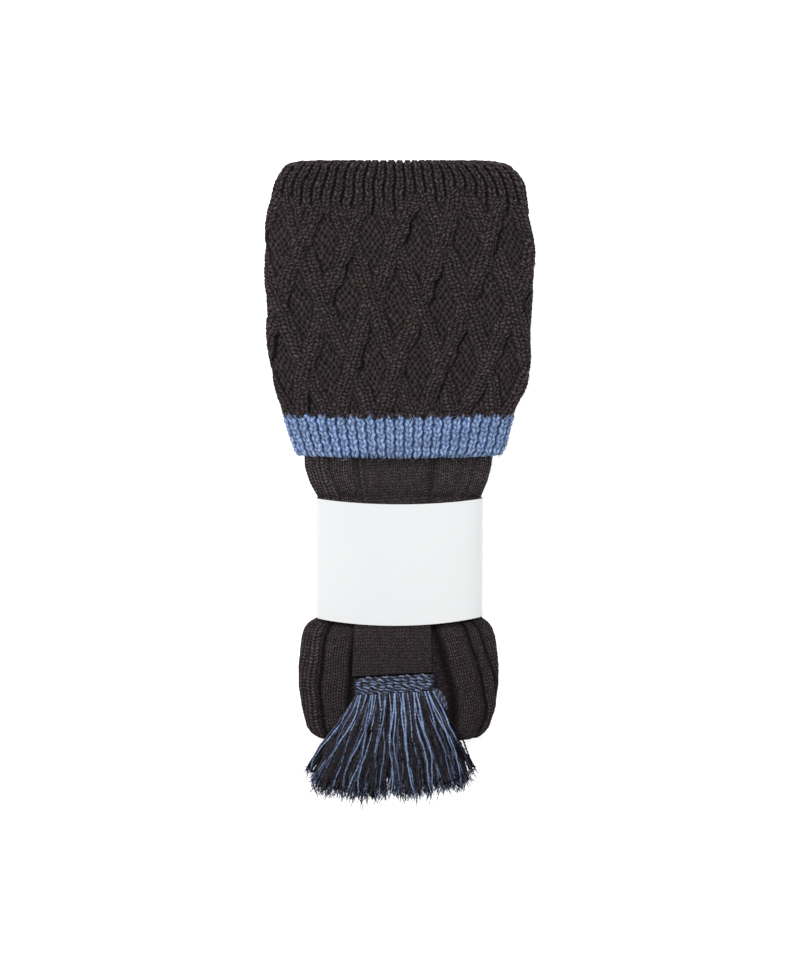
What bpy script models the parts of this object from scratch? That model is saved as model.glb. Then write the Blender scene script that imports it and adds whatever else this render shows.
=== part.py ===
"""Folded knee-length shooting sock with a turnover cuff, a garter tassel and a plain paper band.

The bundle lies on its back: +Y runs from the fringe towards the cuff, +X to the right, +Z up.
All sizes below are in millimetres and MM turns them into metres.
"""

from collections import namedtuple

import bmesh
import bpy
import numpy as np

MM = 0.001

# Places along the bundle (Y).
CUFF_TOP = 131.6
TRIM_TOP = 27.2
TRIM_EDGE = 11.4
LEG_REACH = 100.75
BAND_TOP = -0.0665 * LEG_REACH
BAND_HEIGHT = 0.4864 * LEG_REACH
FOLD_CENTRE = -LEG_REACH
ANKLE_SEAM = 95.0
HEEL_CENTRE = 117.0
MOUTH_SEAM = 118.0

# Widths.
CUFF_HALF = 55.4
LEG_HALF = 41.2
BAND_HALF = 34.5
FOOT_HALF = 40.0
STACK = 32.0

# Fabric thickness.
CUFF_WALL = 3.5
LEG_WALL = 2.3
FOOT_WALL = 2.0
TRIM_WALL = 3.3
TRIM_ROUND = 1.2
TRIM_BOW = 0.9
STRAP_THICK = 2.2
PAPER_THICK = 0.35

# Clearances.
LAYER_GAP = 0.4
SEAM_GAP = 0.3
PAPER_GAP = 0.3
PAPER_SIDE_GAP = 0.7
STRAP_GAP = 0.4

# Knitted relief.
RIB_HEIGHT = 0.9
TRIM_RIB_HEIGHT = 0.8
CABLE_HEIGHT = 1.1
CABLE_WIDTH = 2.6
DIAMOND_WIDTH = 19.7
DIAMOND_HEIGHT = 51.6
DIAMOND_X = -1.6
DIAMOND_Y = 72.6
RIB_ZONE = 18.0
RIB_FADE = 4.0
LEG_RIB_HEIGHT = 1.0

# Folds.
FOLD_RADIUS = 4.05
HEEL_RADIUS = 3.1
TOE_ROUND = 1.6
SECTION_POWER = 2.8
PAPER_POWER = 4.6
PAPER_BOW_TOP = 2.3
PAPER_BOW_FOOT = 3.2
PAPER_SKEW = 0.35

# Garter.
STRAP_TOP = -0.129 * LEG_REACH
STRAP_FOOT = -0.7782 * LEG_REACH
STRAP_LEFT_TOP = 17.2
STRAP_RIGHT_TOP = 12.4
STRAP_LEFT_FOOT = 19.6
STRAP_RIGHT_FOOT = 13.6
HEAD_LEFT = -19.0
HEAD_RIGHT = 14.6
HEAD_THICK = 4.8
HEAD_SLOPE = 0.055
FRINGE_TOP = -0.8596 * LEG_REACH
FRINGE_LENGTH = 44.0
LOCK_COUNT = 14
LOCK_THICK = 3.0
LOCK_WIDTH = 4.7
LOCK_SPLIT = 4

# How finely the rounds are sampled.
CUFF_FRONT_STEPS = 44
CUFF_BACK_STEPS = 8
LEG_BACK_STEPS = 7
FOOT_STEPS = 8
PAPER_STEPS = 15
SIDE_STEPS = 3
OVAL_EDGE = 0.93
CUFF_ROWS = 16

# Under the paper band the leg, its run behind and the foot are pressed to fit inside the ring.
BAND_INSIDE = BAND_HALF - PAPER_THICK - PAPER_SIDE_GAP
LEG_PINCH = BAND_INSIDE / LEG_HALF
BACK_PINCH = 0.955 * BAND_INSIDE / LEG_HALF
FOOT_PINCH = 0.873 * BAND_INSIDE / FOOT_HALF

# The cuff outline: down is a share of the cuff's drop, left and right are shares of CUFF_HALF,
# half is the half thickness of the leg inside it and mid the height of its middle, shares of STACK.
CuffRow = namedtuple("CuffRow", "down left right half mid")
CUFF_TABLE = [
    CuffRow(0.000, 0.640, 0.600, 0.1719, 0.6937),
    CuffRow(0.016, 0.800, 0.755, 0.1719, 0.6937),
    CuffRow(0.044, 0.874, 0.858, 0.1719, 0.6937),
    CuffRow(0.071, 0.910, 0.908, 0.1719, 0.6937),
    CuffRow(0.125, 0.947, 0.940, 0.1719, 0.6937),
    CuffRow(0.233, 0.984, 0.962, 0.1656, 0.6875),
    CuffRow(0.341, 0.992, 0.992, 0.1594, 0.6781),
    CuffRow(0.396, 1.000, 1.000, 0.1562, 0.675),
    CuffRow(0.504, 0.992, 0.992, 0.1531, 0.6687),
    CuffRow(0.612, 0.977, 0.977, 0.15, 0.6625),
    CuffRow(0.720, 0.940, 0.940, 0.1469, 0.6562),
    CuffRow(0.774, 0.918, 0.925, 0.1437, 0.6531),
    CuffRow(0.828, 0.888, 0.888, 0.1406, 0.65),
    CuffRow(0.882, 0.858, 0.846, 0.1375, 0.6469),
    CuffRow(0.936, 0.821, 0.814, 0.1344, 0.6406),
    CuffRow(0.963, 0.799, 0.799, 0.1344, 0.6375),
    CuffRow(1.000, 0.772, 0.760, 0.1344, 0.6344),
]

# The leg's front run below the cuff: y as a share of LEG_REACH, left and right as shares of LEG_HALF,
# half and mid as above, rib is the share of the rib height.
LegRow = namedtuple("LegRow", "y left right half mid rib")
LEG_FRONT_TABLE = [
    LegRow(0.0645, 0.945, 0.915, 0.1281, 0.5687, 0.4),
    LegRow(0.005, 0.900, 0.880, 0.1219, 0.525, 0.8),
    LegRow(-0.0347, 0.850, 0.840, 0.1094, 0.4906, 0.6),
    LegRow(-0.0640, LEG_PINCH, LEG_PINCH, 0.0969, 0.4484, 0.0),
    LegRow(-0.5580, LEG_PINCH, LEG_PINCH, 0.0969, 0.4484, 0.0),
    LegRow(-0.5757, 0.915, 0.895, 0.0969, 0.4484, 0.2),
    LegRow(-0.5995, 0.955, 0.935, 0.0984, 0.45, 0.6),
    LegRow(-0.6313, 0.975, 0.955, 0.125, 0.4969, 1.0),
    LegRow(-0.6749, 0.988, 0.968, 0.1469, 0.5281, 1.0),
    LegRow(-0.7444, 1.003, 0.985, 0.1562, 0.5406, 1.0),
    LegRow(-0.8337, 1.003, 0.988, 0.15, 0.5406, 1.0),
    LegRow(-0.9132, 0.975, 0.962, 0.125, 0.5375, 1.0),
]
LEG_FOLD_HALF = 0.0938 * STACK
LEG_FOLD_MID = 0.5313 * STACK
LegFold = namedtuple("LegFold", "turn left right rib")
LEG_FOLD_TABLE = [
    LegFold(0.0, 0.925, 0.895, 0.9),
    LegFold(36.0, 0.880, 0.845, 0.6),
    LegFold(72.0, 0.830, 0.800, 0.2),
    LegFold(108.0, 0.815, 0.790, 0.0),
    LegFold(144.0, 0.835, 0.820, 0.0),
    LegFold(180.0, 0.860, 0.850, 0.0),
]
LEG_BACK_TABLE = [
    LegRow(-0.6352, 0.870, 0.860, 0.0844, 0.275, 0.0),
    LegRow(-0.5459, BACK_PINCH, BACK_PINCH, 0.0766, 0.2641, 0.0),
    LegRow(-0.0844, BACK_PINCH, BACK_PINCH, 0.0766, 0.2641, 0.0),
    LegRow(0.0397, 0.860, 0.860, 0.0813, 0.275, 0.0),
    LegRow(0.2978, 0.970, 0.970, 0.0906, 0.2906, 0.0),
    LegRow(ANKLE_SEAM / LEG_REACH, 0.960, 0.960, 0.0906, 0.2906, 0.0),
]

# Ribs across the leg's front: at is the middle and wide the half width, as shares of the half width.
LegRib = namedtuple("LegRib", "at wide high")
LEG_RIBS = [
    LegRib(-0.90, 0.060, 0.7),
    LegRib(-0.76, 0.035, 0.4),
    LegRib(-0.58, 0.100, 1.0),
    LegRib(0.62, 0.120, 1.0),
    LegRib(0.84, 0.045, 0.7),
]

# The foot behind: from the ankle over the heel and down to the toe.
FootRow = namedtuple("FootRow", "y wide half mid")
FOOT_TOP_TABLE = [
    FootRow((ANKLE_SEAM + SEAM_GAP) / LEG_REACH, 0.985, 0.0906, 0.2906),
    FootRow(1.0521, 0.975, 0.0875, 0.29),
]
FOOT_HEEL_HALF = 0.0797 * STACK
FOOT_HEEL_MID = 0.2891 * STACK
FootHeel = namedtuple("FootHeel", "turn wide")
FOOT_HEEL_TABLE = [
    FootHeel(0.0, 0.960),
    FootHeel(45.0, 0.930),
    FootHeel(90.0, 0.900),
    FootHeel(135.0, 0.930),
    FootHeel(180.0, 0.960),
]
FOOT_SOLE_TABLE = [
    FootRow(1.0323, 0.980, 0.0922, 0.0922),
    FootRow(0.5955, 1.000, 0.0938, 0.0938),
    FootRow(0.1985, 0.950, 0.0938, 0.0938),
    FootRow(0.0298, 0.860, 0.0875, 0.0906),
    FootRow(-0.0546, FOOT_PINCH, 0.0766, 0.1016),
    FootRow(-0.5707, FOOT_PINCH, 0.0766, 0.1016),
    FootRow(-0.6551, 0.880, 0.0875, 0.0875),
    FootRow(-0.794, 0.830, 0.0844, 0.0844),
    FootRow(-0.8734, 0.700, 0.0781, 0.0828),
    FootRow(-0.9181, 0.520, 0.0672, 0.0828),
]
SOLE_FLAT = 1.06

# The fringe's underside from the heading to the tips: along is a share of FRINGE_LENGTH measured
# towards the tips, low is the height above the table as a share of STACK.
FringeRow = namedtuple("FringeRow", "along low fan thick")
FRINGE_TABLE = [
    FringeRow(0.00, 0.725, 0.00, 1.15),
    FringeRow(0.15, 0.7156, 0.10, 1.10),
    FringeRow(0.30, 0.6781, 0.26, 1.05),
    FringeRow(0.44, 0.6125, 0.43, 1.00),
    FringeRow(0.56, 0.4688, 0.58, 0.95),
    FringeRow(0.70, 0.25, 0.74, 0.90),
    FringeRow(0.84, 0.1, 0.88, 0.80),
    FringeRow(1.00, 0.0109, 1.00, 0.60),
]
HeadRow = namedtuple("HeadRow", "y low thick")
HEAD_TABLE = [
    HeadRow(-0.7831, 0.7344, 0.45),
    HeadRow(-0.7911, 0.7172, 0.90),
    HeadRow(-0.8179, 0.7156, 1.12),
    HeadRow(-0.8467, 0.7156, 1.00),
]
# Where each lock of the fringe ends: across as a share of LEG_HALF, its length of FRINGE_LENGTH.
Lock = namedtuple("Lock", "tip length")
LOCKS = [
    Lock(-0.8883, 0.80),
    Lock(-0.7913, 0.93),
    Lock(-0.6796, 0.96),
    Lock(-0.5583, 0.98),
    Lock(-0.4369, 1.00),
    Lock(-0.3204, 0.98),
    Lock(-0.2039, 0.96),
    Lock(-0.0777, 0.96),
    Lock(0.0534, 0.97),
    Lock(0.1796, 0.96),
    Lock(0.3107, 0.94),
    Lock(0.4369, 0.92),
    Lock(0.5631, 0.87),
    Lock(0.6893, 0.79),
]


def remove_old_objects():
    """Start from an empty file."""
    for old in list(bpy.data.objects):
        bpy.data.objects.remove(old, do_unlink=True)


def blend(rows, key, wanted):
    """Read every column of a table at one key value, with an eased curve between the rows."""
    names = rows[0]._fields
    ordered = sorted(rows, key=lambda row: getattr(row, key))
    keys = np.array([getattr(row, key) for row in ordered], dtype=float)
    result = {}
    for name in names:
        values = np.array([getattr(row, name) for row in ordered], dtype=float)
        slopes = np.gradient(values, keys)
        i = int(np.clip(np.searchsorted(keys, wanted) - 1, 0, len(keys) - 2))
        span = keys[i + 1] - keys[i]
        t = float(np.clip((wanted - keys[i]) / span, 0.0, 1.0))
        start = (1 + 2 * t) * (1 - t) ** 2 * values[i] + t * (1 - t) ** 2 * span * slopes[i]
        end = t * t * (3 - 2 * t) * values[i + 1] + t * t * (t - 1) * span * slopes[i + 1]
        result[name] = start + end
    return result


def oval(front_places, back_steps, power):
    """Unit points round a flattened oval: the front from left to right, then back round underneath."""
    edge = front_places[-1]
    front = [(s, (1 - abs(s) ** power) ** (1 / power)) for s in front_places]
    back = [(s, -((1 - abs(s) ** power) ** (1 / power))) for s in np.linspace(edge, -edge, back_steps)]
    rise = front[0][1]
    sides = np.linspace(rise, -rise, SIDE_STEPS + 2)[1:-1]
    right = [((1 - abs(h) ** power) ** (1 / power), h) for h in sides]
    left = [(-((1 - abs(h) ** power) ** (1 / power)), h) for h in sides[::-1]]
    return front + right + back + left


def even_places(steps):
    """Evenly spaced places across a front."""
    return np.linspace(-OVAL_EDGE, OVAL_EDGE, steps)


def rib_places():
    """Places across the leg's front that follow its ribs, with a few more under the garter."""
    places = {-OVAL_EDGE, OVAL_EDGE, -0.38, -0.12, 0.14, 0.38}
    for rib in LEG_RIBS:
        for side in (-1.15, 0.0, 1.15):
            place = round(rib.at + side * rib.wide, 3)
            if abs(place) < OVAL_EDGE - 0.02:
                places.add(place)
    ordered = sorted(places)
    return [p for p, after in zip(ordered, ordered[1:] + [2.0]) if after - p > 0.012]


def oval_arc(points, half_width, half_height):
    """Distance round the oval from the middle of its front, signed to the right."""
    xs = [p[0] * half_width for p in points]
    zs = [p[1] * half_height for p in points]
    steps = [np.hypot(xs[i] - xs[i - 1], zs[i] - zs[i - 1]) for i in range(1, len(points))]
    arc = np.concatenate([[0.0], np.cumsum(steps)])
    middle = np.interp(0.0, xs[: len(points) // 2], arc[: len(points) // 2])
    return arc - middle


def swept_wall(name, rings):
    """A wall whose section is a closed loop of rings: each ring joins the next and the last the first."""
    count = len(rings[0])
    verts = [point for ring in rings for point in ring]
    faces = []
    for r in range(len(rings)):
        following = (r + 1) % len(rings)
        for i in range(count):
            j = (i + 1) % count
            faces.append((r * count + i, r * count + j, following * count + j, following * count + i))
    return make_object(name, verts, faces)


def make_object(name, verts, faces):
    """Mesh object in metres with outward faces and smooth shading."""
    mesh = bpy.data.meshes.new(name)
    mesh.from_pydata([tuple(c * MM for c in v) for v in verts], [], faces)
    work = bmesh.new()
    work.from_mesh(mesh)
    bmesh.ops.recalc_face_normals(work, faces=work.faces)
    for face in work.faces:
        face.smooth = True
    work.to_mesh(mesh)
    work.free()
    return bpy.data.objects.new(name, mesh)


def placed_ring(points, left, right, half, centre, out, relief=None):
    """Put an oval in space: out is the (y, z) direction of its front."""
    ring = []
    for i, (s, h) in enumerate(points):
        wide = s * (right if s > 0 else left)
        high = h * half
        if relief is not None:
            lift = relief[i]
            wide += lift * s * (1 - min(abs(h) * 1.6, 1.0))
            high += lift * np.sign(h) * min(abs(h) * 1.6, 1.0)
        ring.append((wide, centre[0] + high * out[0], centre[1] + high * out[1]))
    return ring


# Cuff, trim and the leg inside them.
def cuff_base(y):
    """The leg's outer surface inside the cuff: left, right, half and mid at one place."""
    row = blend(CUFF_TABLE, "down", (CUFF_TOP - y) / (CUFF_TOP - TRIM_EDGE))
    outer = LAYER_GAP + CUFF_WALL
    left = row["left"] * CUFF_HALF - outer
    right = row["right"] * CUFF_HALF - outer
    return left, right, row["half"] * STACK, row["mid"] * STACK


def cuff_ring(points, y, offset, relief=None, bow=0.0):
    """One ring of the cuff at a distance outside the leg."""
    left, right, half, mid = cuff_base(y)
    ring = placed_ring(points, left + offset, right + offset, half + offset, (y, mid), (0.0, 1.0), relief)
    if bow == 0.0:
        return ring
    front = [max(p[1], 0.0) * (1 - p[0] ** 2) for p in points]
    return [(v[0], v[1] - bow * f, v[2]) for v, f in zip(ring, front)]


def lattice(arc, y):
    """Height of the crossing cables, from 0 in a diamond to 1 on a cable."""
    across = (arc - DIAMOND_X) / DIAMOND_WIDTH
    along = (y - DIAMOND_Y) / DIAMOND_HEIGHT
    tilt = np.cos(np.arctan2(DIAMOND_WIDTH, DIAMOND_HEIGHT))
    best = 0.0
    for sign in (1, -1):
        phase = across + sign * along + 0.5
        away = (phase - np.round(phase)) * DIAMOND_WIDTH * tilt
        best = max(best, float(np.exp(-((away / CABLE_WIDTH) ** 2))))
    return best


def cuff_relief(points, arc, y):
    """Rib at the top fold, cables below it; the back stays plain where it lies on the layers under it."""
    to_rib = np.clip((y - (CUFF_TOP - RIB_ZONE)) / RIB_FADE, 0.0, 1.0)
    relief = []
    for i, (s, h) in enumerate(points):
        if h <= 0:
            relief.append(0.0)
            continue
        rib = RIB_HEIGHT * (i % 2)
        cable = CABLE_HEIGHT * lattice(arc[i], y)
        edge = min(1.0, h / 0.5)
        relief.append(float(to_rib * rib + (1 - to_rib) * cable) * edge)
    return relief


def inner_rows():
    """Places where the leg and the inside of the cuff share a ring, so their gap stays even."""
    return [share * MOUTH_SEAM for share in (0.81, 0.64, 0.475, 0.32)]


def build_cuff():
    """Lattice cuff with its hairpin fold over the leg's top edge."""
    points = oval(even_places(CUFF_FRONT_STEPS), CUFF_BACK_STEPS, SECTION_POWER)
    arc = oval_arc(points, CUFF_HALF, CUFF_WALL + CUFF_TABLE[0].half * STACK)
    outer = LAYER_GAP + CUFF_WALL
    fold_radius = (outer + LEG_WALL) / 2
    fold_mid = (outer - LEG_WALL) / 2
    fold_y = CUFF_TOP - fold_radius
    rings = []
    for y in np.linspace(TRIM_TOP, fold_y, CUFF_ROWS):
        rings.append(cuff_ring(points, y, outer, cuff_relief(points, arc, y)))
    for turn in np.radians([32, 64, 90, 120, 150]):
        y = fold_y + fold_radius * np.sin(turn)
        ribs = [r * (1 + np.cos(turn)) / 2 for r in cuff_relief(points, arc, fold_y)]
        rings.append(cuff_ring(points, y, fold_mid + fold_radius * np.cos(turn), ribs))
    rings.append(cuff_ring(points, fold_y, -LEG_WALL))
    rings.append(cuff_ring(points, MOUTH_SEAM, -LEG_WALL))
    rings.append(cuff_ring(points, MOUTH_SEAM, 0.0))
    inside_top = fold_y - LAYER_GAP
    rings.append(cuff_ring(points, inside_top, 0.0))
    rings.append(cuff_ring(points, inside_top, LAYER_GAP))
    for y in [MOUTH_SEAM] + inner_rows():
        rings.append(cuff_ring(points, y, LAYER_GAP))
    rings.append(cuff_ring(points, TRIM_TOP, LAYER_GAP))
    return swept_wall("turnover_cuff", rings)


def build_trim():
    """Blue rib welt below the cuff's lattice, a little thinner, with a bowed free edge."""
    points = oval(even_places(CUFF_FRONT_STEPS), CUFF_BACK_STEPS, SECTION_POWER)
    ribs = [TRIM_RIB_HEIGHT * (i % 2) * (h > 0) for i, (s, h) in enumerate(points)]
    top = TRIM_TOP - SEAM_GAP
    outer = LAYER_GAP + TRIM_WALL
    middle = (top + TRIM_EDGE) / 2
    rings = [
        cuff_ring(points, top, outer, ribs),
        cuff_ring(points, middle, outer, ribs, TRIM_BOW / 2),
        cuff_ring(points, TRIM_EDGE + TRIM_ROUND, outer, ribs, TRIM_BOW),
        cuff_ring(points, TRIM_EDGE, outer - TRIM_ROUND, None, TRIM_BOW),
        cuff_ring(points, TRIM_EDGE, LAYER_GAP + 0.7 * TRIM_ROUND, None, TRIM_BOW),
        cuff_ring(points, TRIM_EDGE + 0.8 * TRIM_ROUND, LAYER_GAP, None, TRIM_BOW),
        cuff_ring(points, middle, LAYER_GAP, None, TRIM_BOW / 2),
        cuff_ring(points, top, LAYER_GAP),
    ]
    return swept_wall("cuff_trim", rings)


def leg_relief(points, share):
    """Wide and narrow ribs on the leg's front; none where the garter strap lies."""
    relief = []
    for s, h in points:
        lift = 0.0
        if h > 0:
            for rib in LEG_RIBS:
                lift = max(lift, rib.high * float(np.exp(-(((s - rib.at) / rib.wide) ** 4))))
        relief.append(LEG_RIB_HEIGHT * share * lift)
    return relief


def leg_stations():
    """Every place along the leg: left, right, half, centre, direction of the front, rib share."""
    stations = []
    for y in [MOUTH_SEAM - SEAM_GAP] + inner_rows() + [TRIM_TOP, (TRIM_TOP + TRIM_EDGE) / 2, TRIM_EDGE]:
        left, right, half, mid = cuff_base(y)
        stations.append((left, right, half, (y, mid), (0.0, 1.0), 0.0))
    for row in LEG_FRONT_TABLE:
        widths = (row.left * LEG_HALF, row.right * LEG_HALF)
        place = (row.y * LEG_REACH, row.mid * STACK)
        stations.append((*widths, row.half * STACK, place, (0.0, 1.0), row.rib))
    for row in LEG_FOLD_TABLE:
        turn = np.radians(row.turn)
        centre_z = LEG_FOLD_MID - FOLD_RADIUS
        centre = (FOLD_CENTRE - FOLD_RADIUS * np.sin(turn), centre_z + FOLD_RADIUS * np.cos(turn))
        out = (-np.sin(turn), np.cos(turn))
        widths = (row.left * LEG_HALF, row.right * LEG_HALF)
        stations.append((*widths, LEG_FOLD_HALF, centre, out, row.rib))
    for row in LEG_BACK_TABLE:
        widths = (row.left * LEG_HALF, row.right * LEG_HALF)
        place = (row.y * LEG_REACH, row.mid * STACK)
        stations.append((*widths, row.half * STACK, place, (0.0, -1.0), row.rib))
    return stations


def build_leg():
    """Hollow leg: its outside from the mouth to the ankle, then its inside back again."""
    points = oval(rib_places(), LEG_BACK_STEPS, SECTION_POWER)
    rings = []
    stations = leg_stations()
    for left, right, half, centre, out, share in stations:
        rings.append(placed_ring(points, left, right, half, centre, out, leg_relief(points, share)))
    for left, right, half, centre, out, share in reversed(stations):
        inside = (left - LEG_WALL, right - LEG_WALL, half - LEG_WALL)
        rings.append(placed_ring(points, *inside, centre, out))
    return swept_wall("sock_leg", rings)


def leg_top(x, y):
    """Height of the leg's front surface under the garter, without its ribs."""
    rows = []
    for left, right, half, centre, out, share in leg_stations():
        if out == (0.0, 1.0):
            rows.append((centre[0], max(left, right), half, centre[1]))
    rows.sort()
    ys = [r[0] for r in rows]
    wide = np.interp(y, ys, [r[1] for r in rows])
    half = np.interp(y, ys, [r[2] for r in rows])
    mid = np.interp(y, ys, [r[3] for r in rows])
    return mid + half * (1 - min(abs(x) / wide, 1.0) ** SECTION_POWER) ** (1 / SECTION_POWER)


# Foot.
def foot_stations():
    """Places along the foot from the ankle over the heel to the toe."""
    stations = []
    for row in FOOT_TOP_TABLE:
        place = (row.y * LEG_REACH, row.mid * STACK)
        stations.append((row.wide * FOOT_HALF, row.half * STACK, place, (0.0, -1.0), False))
    for row in FOOT_HEEL_TABLE:
        turn = np.radians(row.turn)
        centre_z = FOOT_HEEL_MID - HEEL_RADIUS
        centre = (HEEL_CENTRE + HEEL_RADIUS * np.sin(turn), centre_z + HEEL_RADIUS * np.cos(turn))
        out = (-np.sin(turn), -np.cos(turn))
        stations.append((row.wide * FOOT_HALF, FOOT_HEEL_HALF, centre, out, False))
    for row in FOOT_SOLE_TABLE:
        place = (row.y * LEG_REACH, row.mid * STACK)
        stations.append((row.wide * FOOT_HALF, row.half * STACK, place, (0.0, 1.0), True))
    return stations


def foot_ring(points, wide, half, centre, out, flat):
    """Foot section; the sole side is pressed flat on the table."""
    shaped = points
    if flat:
        shaped = [(s, max(h * SOLE_FLAT, -1.0) if h < 0 else h) for s, h in points]
    return placed_ring(shaped, wide, wide, half, centre, out)


def build_foot():
    """Hollow foot with an open ankle and a closed toe."""
    points = oval(even_places(FOOT_STEPS), FOOT_STEPS, SECTION_POWER)
    stations = foot_stations()
    outer = [foot_ring(points, *station) for station in stations]
    inner = []
    for wide, half, centre, out, flat in stations[:-1]:
        inner.append(foot_ring(points, wide - FOOT_WALL, half - FOOT_WALL, centre, out, flat))
    wide, half, centre, out, flat = stations[-1]
    toe = (centre[0] - TOE_ROUND, centre[1])
    outer.append(foot_ring(points, wide * 0.72, half * 0.55, toe, out, flat))
    rings = outer + inner[::-1]
    count = len(points)
    verts = [point for ring in rings for point in ring]
    faces = []
    total = len(rings)
    last_outer = len(outer) - 1
    for r in range(total):
        if r == last_outer:
            continue
        following = (r + 1) % total
        for i in range(count):
            j = (i + 1) % count
            faces.append((r * count + i, r * count + j, following * count + j, following * count + i))
    faces.extend(end_cap(last_outer * count, FOOT_STEPS))
    faces.extend(end_cap((last_outer + 1) * count, FOOT_STEPS))
    return make_object("sock_foot", verts, faces)


def end_cap(start, steps):
    """Quads that close an oval ring straight across from its front points to its back points."""
    faces = []
    back = steps + SIDE_STEPS
    for i in range(steps - 1):
        low = back + steps - 1 - i
        faces.append((start + i, start + i + 1, start + low - 1, start + low))
    right = [steps - 1 + k for k in range(SIDE_STEPS + 2)]
    left = [back + steps - 1 + k for k in range(SIDE_STEPS + 1)] + [0]
    faces.append(tuple(start + k for k in right))
    faces.append(tuple(start + k for k in left))
    return faces


# Garter.
def build_strap():
    """Flat knitted strap lying on the leg, from under the paper band to the tassel's heading."""
    across = np.linspace(-1.0, 1.0, 9)
    between = [row.y * LEG_REACH for row in LEG_FRONT_TABLE]
    rows = [STRAP_TOP] + [y for y in between if STRAP_FOOT < y < STRAP_TOP] + [STRAP_FOOT]
    rings = []
    for y in rows:
        t = (STRAP_TOP - y) / (STRAP_TOP - STRAP_FOOT)
        left = STRAP_LEFT_TOP + (STRAP_LEFT_FOOT - STRAP_LEFT_TOP) * t
        right = STRAP_RIGHT_TOP + (STRAP_RIGHT_FOOT - STRAP_RIGHT_TOP) * t
        lower = []
        upper = []
        for s in across:
            x = s * (right if s > 0 else left)
            base = leg_top(x, y) + STRAP_GAP
            edge = 0.2 * STRAP_THICK if abs(s) == 1.0 else 0.0
            slant = HEAD_SLOPE * x * t**3
            lower.append((x, y + slant, base + edge))
            upper.append((x, y + slant, base + STRAP_THICK - edge))
        rings.append(upper + lower[::-1])
    return open_loft("garter_strap", rings)


def open_loft(name, rings):
    """Solid lofted through rings whose upper and lower halves have equal counts, closed at both ends."""
    count = len(rings[0])
    verts = [point for ring in rings for point in ring]
    faces = []
    for r in range(len(rings) - 1):
        for i in range(count):
            j = (i + 1) % count
            faces.append((r * count + i, r * count + j, (r + 1) * count + j, (r + 1) * count + i))
    for start in (0, (len(rings) - 1) * count):
        for i in range(count // 2 - 1):
            faces.append((start + i, start + i + 1, start + count - 2 - i, start + count - 1 - i))
    return make_object(name, verts, faces)


def lock_row(lock, row_index):
    """The three upper and three lower points of one lock at one row of the heading or fringe."""
    heads = len(HEAD_TABLE)
    width = (HEAD_RIGHT - HEAD_LEFT) / LOCK_COUNT
    root = HEAD_LEFT + (lock + 0.5) * width
    if row_index < heads:
        row = HEAD_TABLE[row_index]
        shares = (-0.5, 0.0, 0.5)
        thick = (row.thick * HEAD_THICK,) * 3
        xs = [root + s * width for s in shares]
        lows = [row.low * STACK] * 3
        ys = [row.y * LEG_REACH + HEAD_SLOPE * x for x in xs]
    else:
        step = row_index - heads
        row = FRINGE_TABLE[step]
        end = LOCKS[lock]
        apart = max(0, step - LOCK_SPLIT) / (len(FRINGE_TABLE) - 1 - LOCK_SPLIT)
        lock_width = width + (LOCK_WIDTH - width) * row.fan
        keep = 1.06 - 0.06 * (apart > 0) - 0.16 * apart
        mid = root + (end.tip * LEG_HALF - root) * row.fan
        shares = (-0.5 * keep, 0.0, 0.5 * keep)
        xs = [mid + s * lock_width for s in shares]
        if step <= LOCK_SPLIT:
            xs[0] = shared_edge(lock, row)
            xs[2] = shared_edge(lock + 1, row)
        ridge = LOCK_THICK * row.thick
        thick = (ridge * 0.62, ridge, ridge * 0.62)
        low = row.low * STACK
        lows = [low + 0.08 * ridge, low, low + 0.08 * ridge]
        reach = 1.0 if step <= LOCK_SPLIT else 1.0 + (end.length - 1.0) * apart ** 0.7
        y = FRINGE_TOP - FRINGE_LENGTH * row.along * reach
        fade = 1.0 - row.along
        ys = [y + HEAD_SLOPE * x * fade for x in xs]
        if step <= LOCK_SPLIT:
            lows = [low] * 3
    upper = [(x, y, low + t) for x, y, low, t in zip(xs, ys, lows, thick)]
    lower = [(x, y, low) for x, y, low in zip(xs, ys, lows)]
    return upper, lower


def shared_edge(edge, row):
    """Where two neighbouring locks meet on the backing."""
    width = (HEAD_RIGHT - HEAD_LEFT) / LOCK_COUNT
    root = HEAD_LEFT + edge * width
    before = LOCKS[max(edge - 1, 0)].tip * LEG_HALF
    after = LOCKS[min(edge, LOCK_COUNT - 1)].tip * LEG_HALF
    tip = (before + after) / 2
    if edge == 0:
        tip = before - LOCK_WIDTH / 2
    if edge == LOCK_COUNT:
        tip = after + LOCK_WIDTH / 2
    return root + (tip - root) * row.fan


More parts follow.
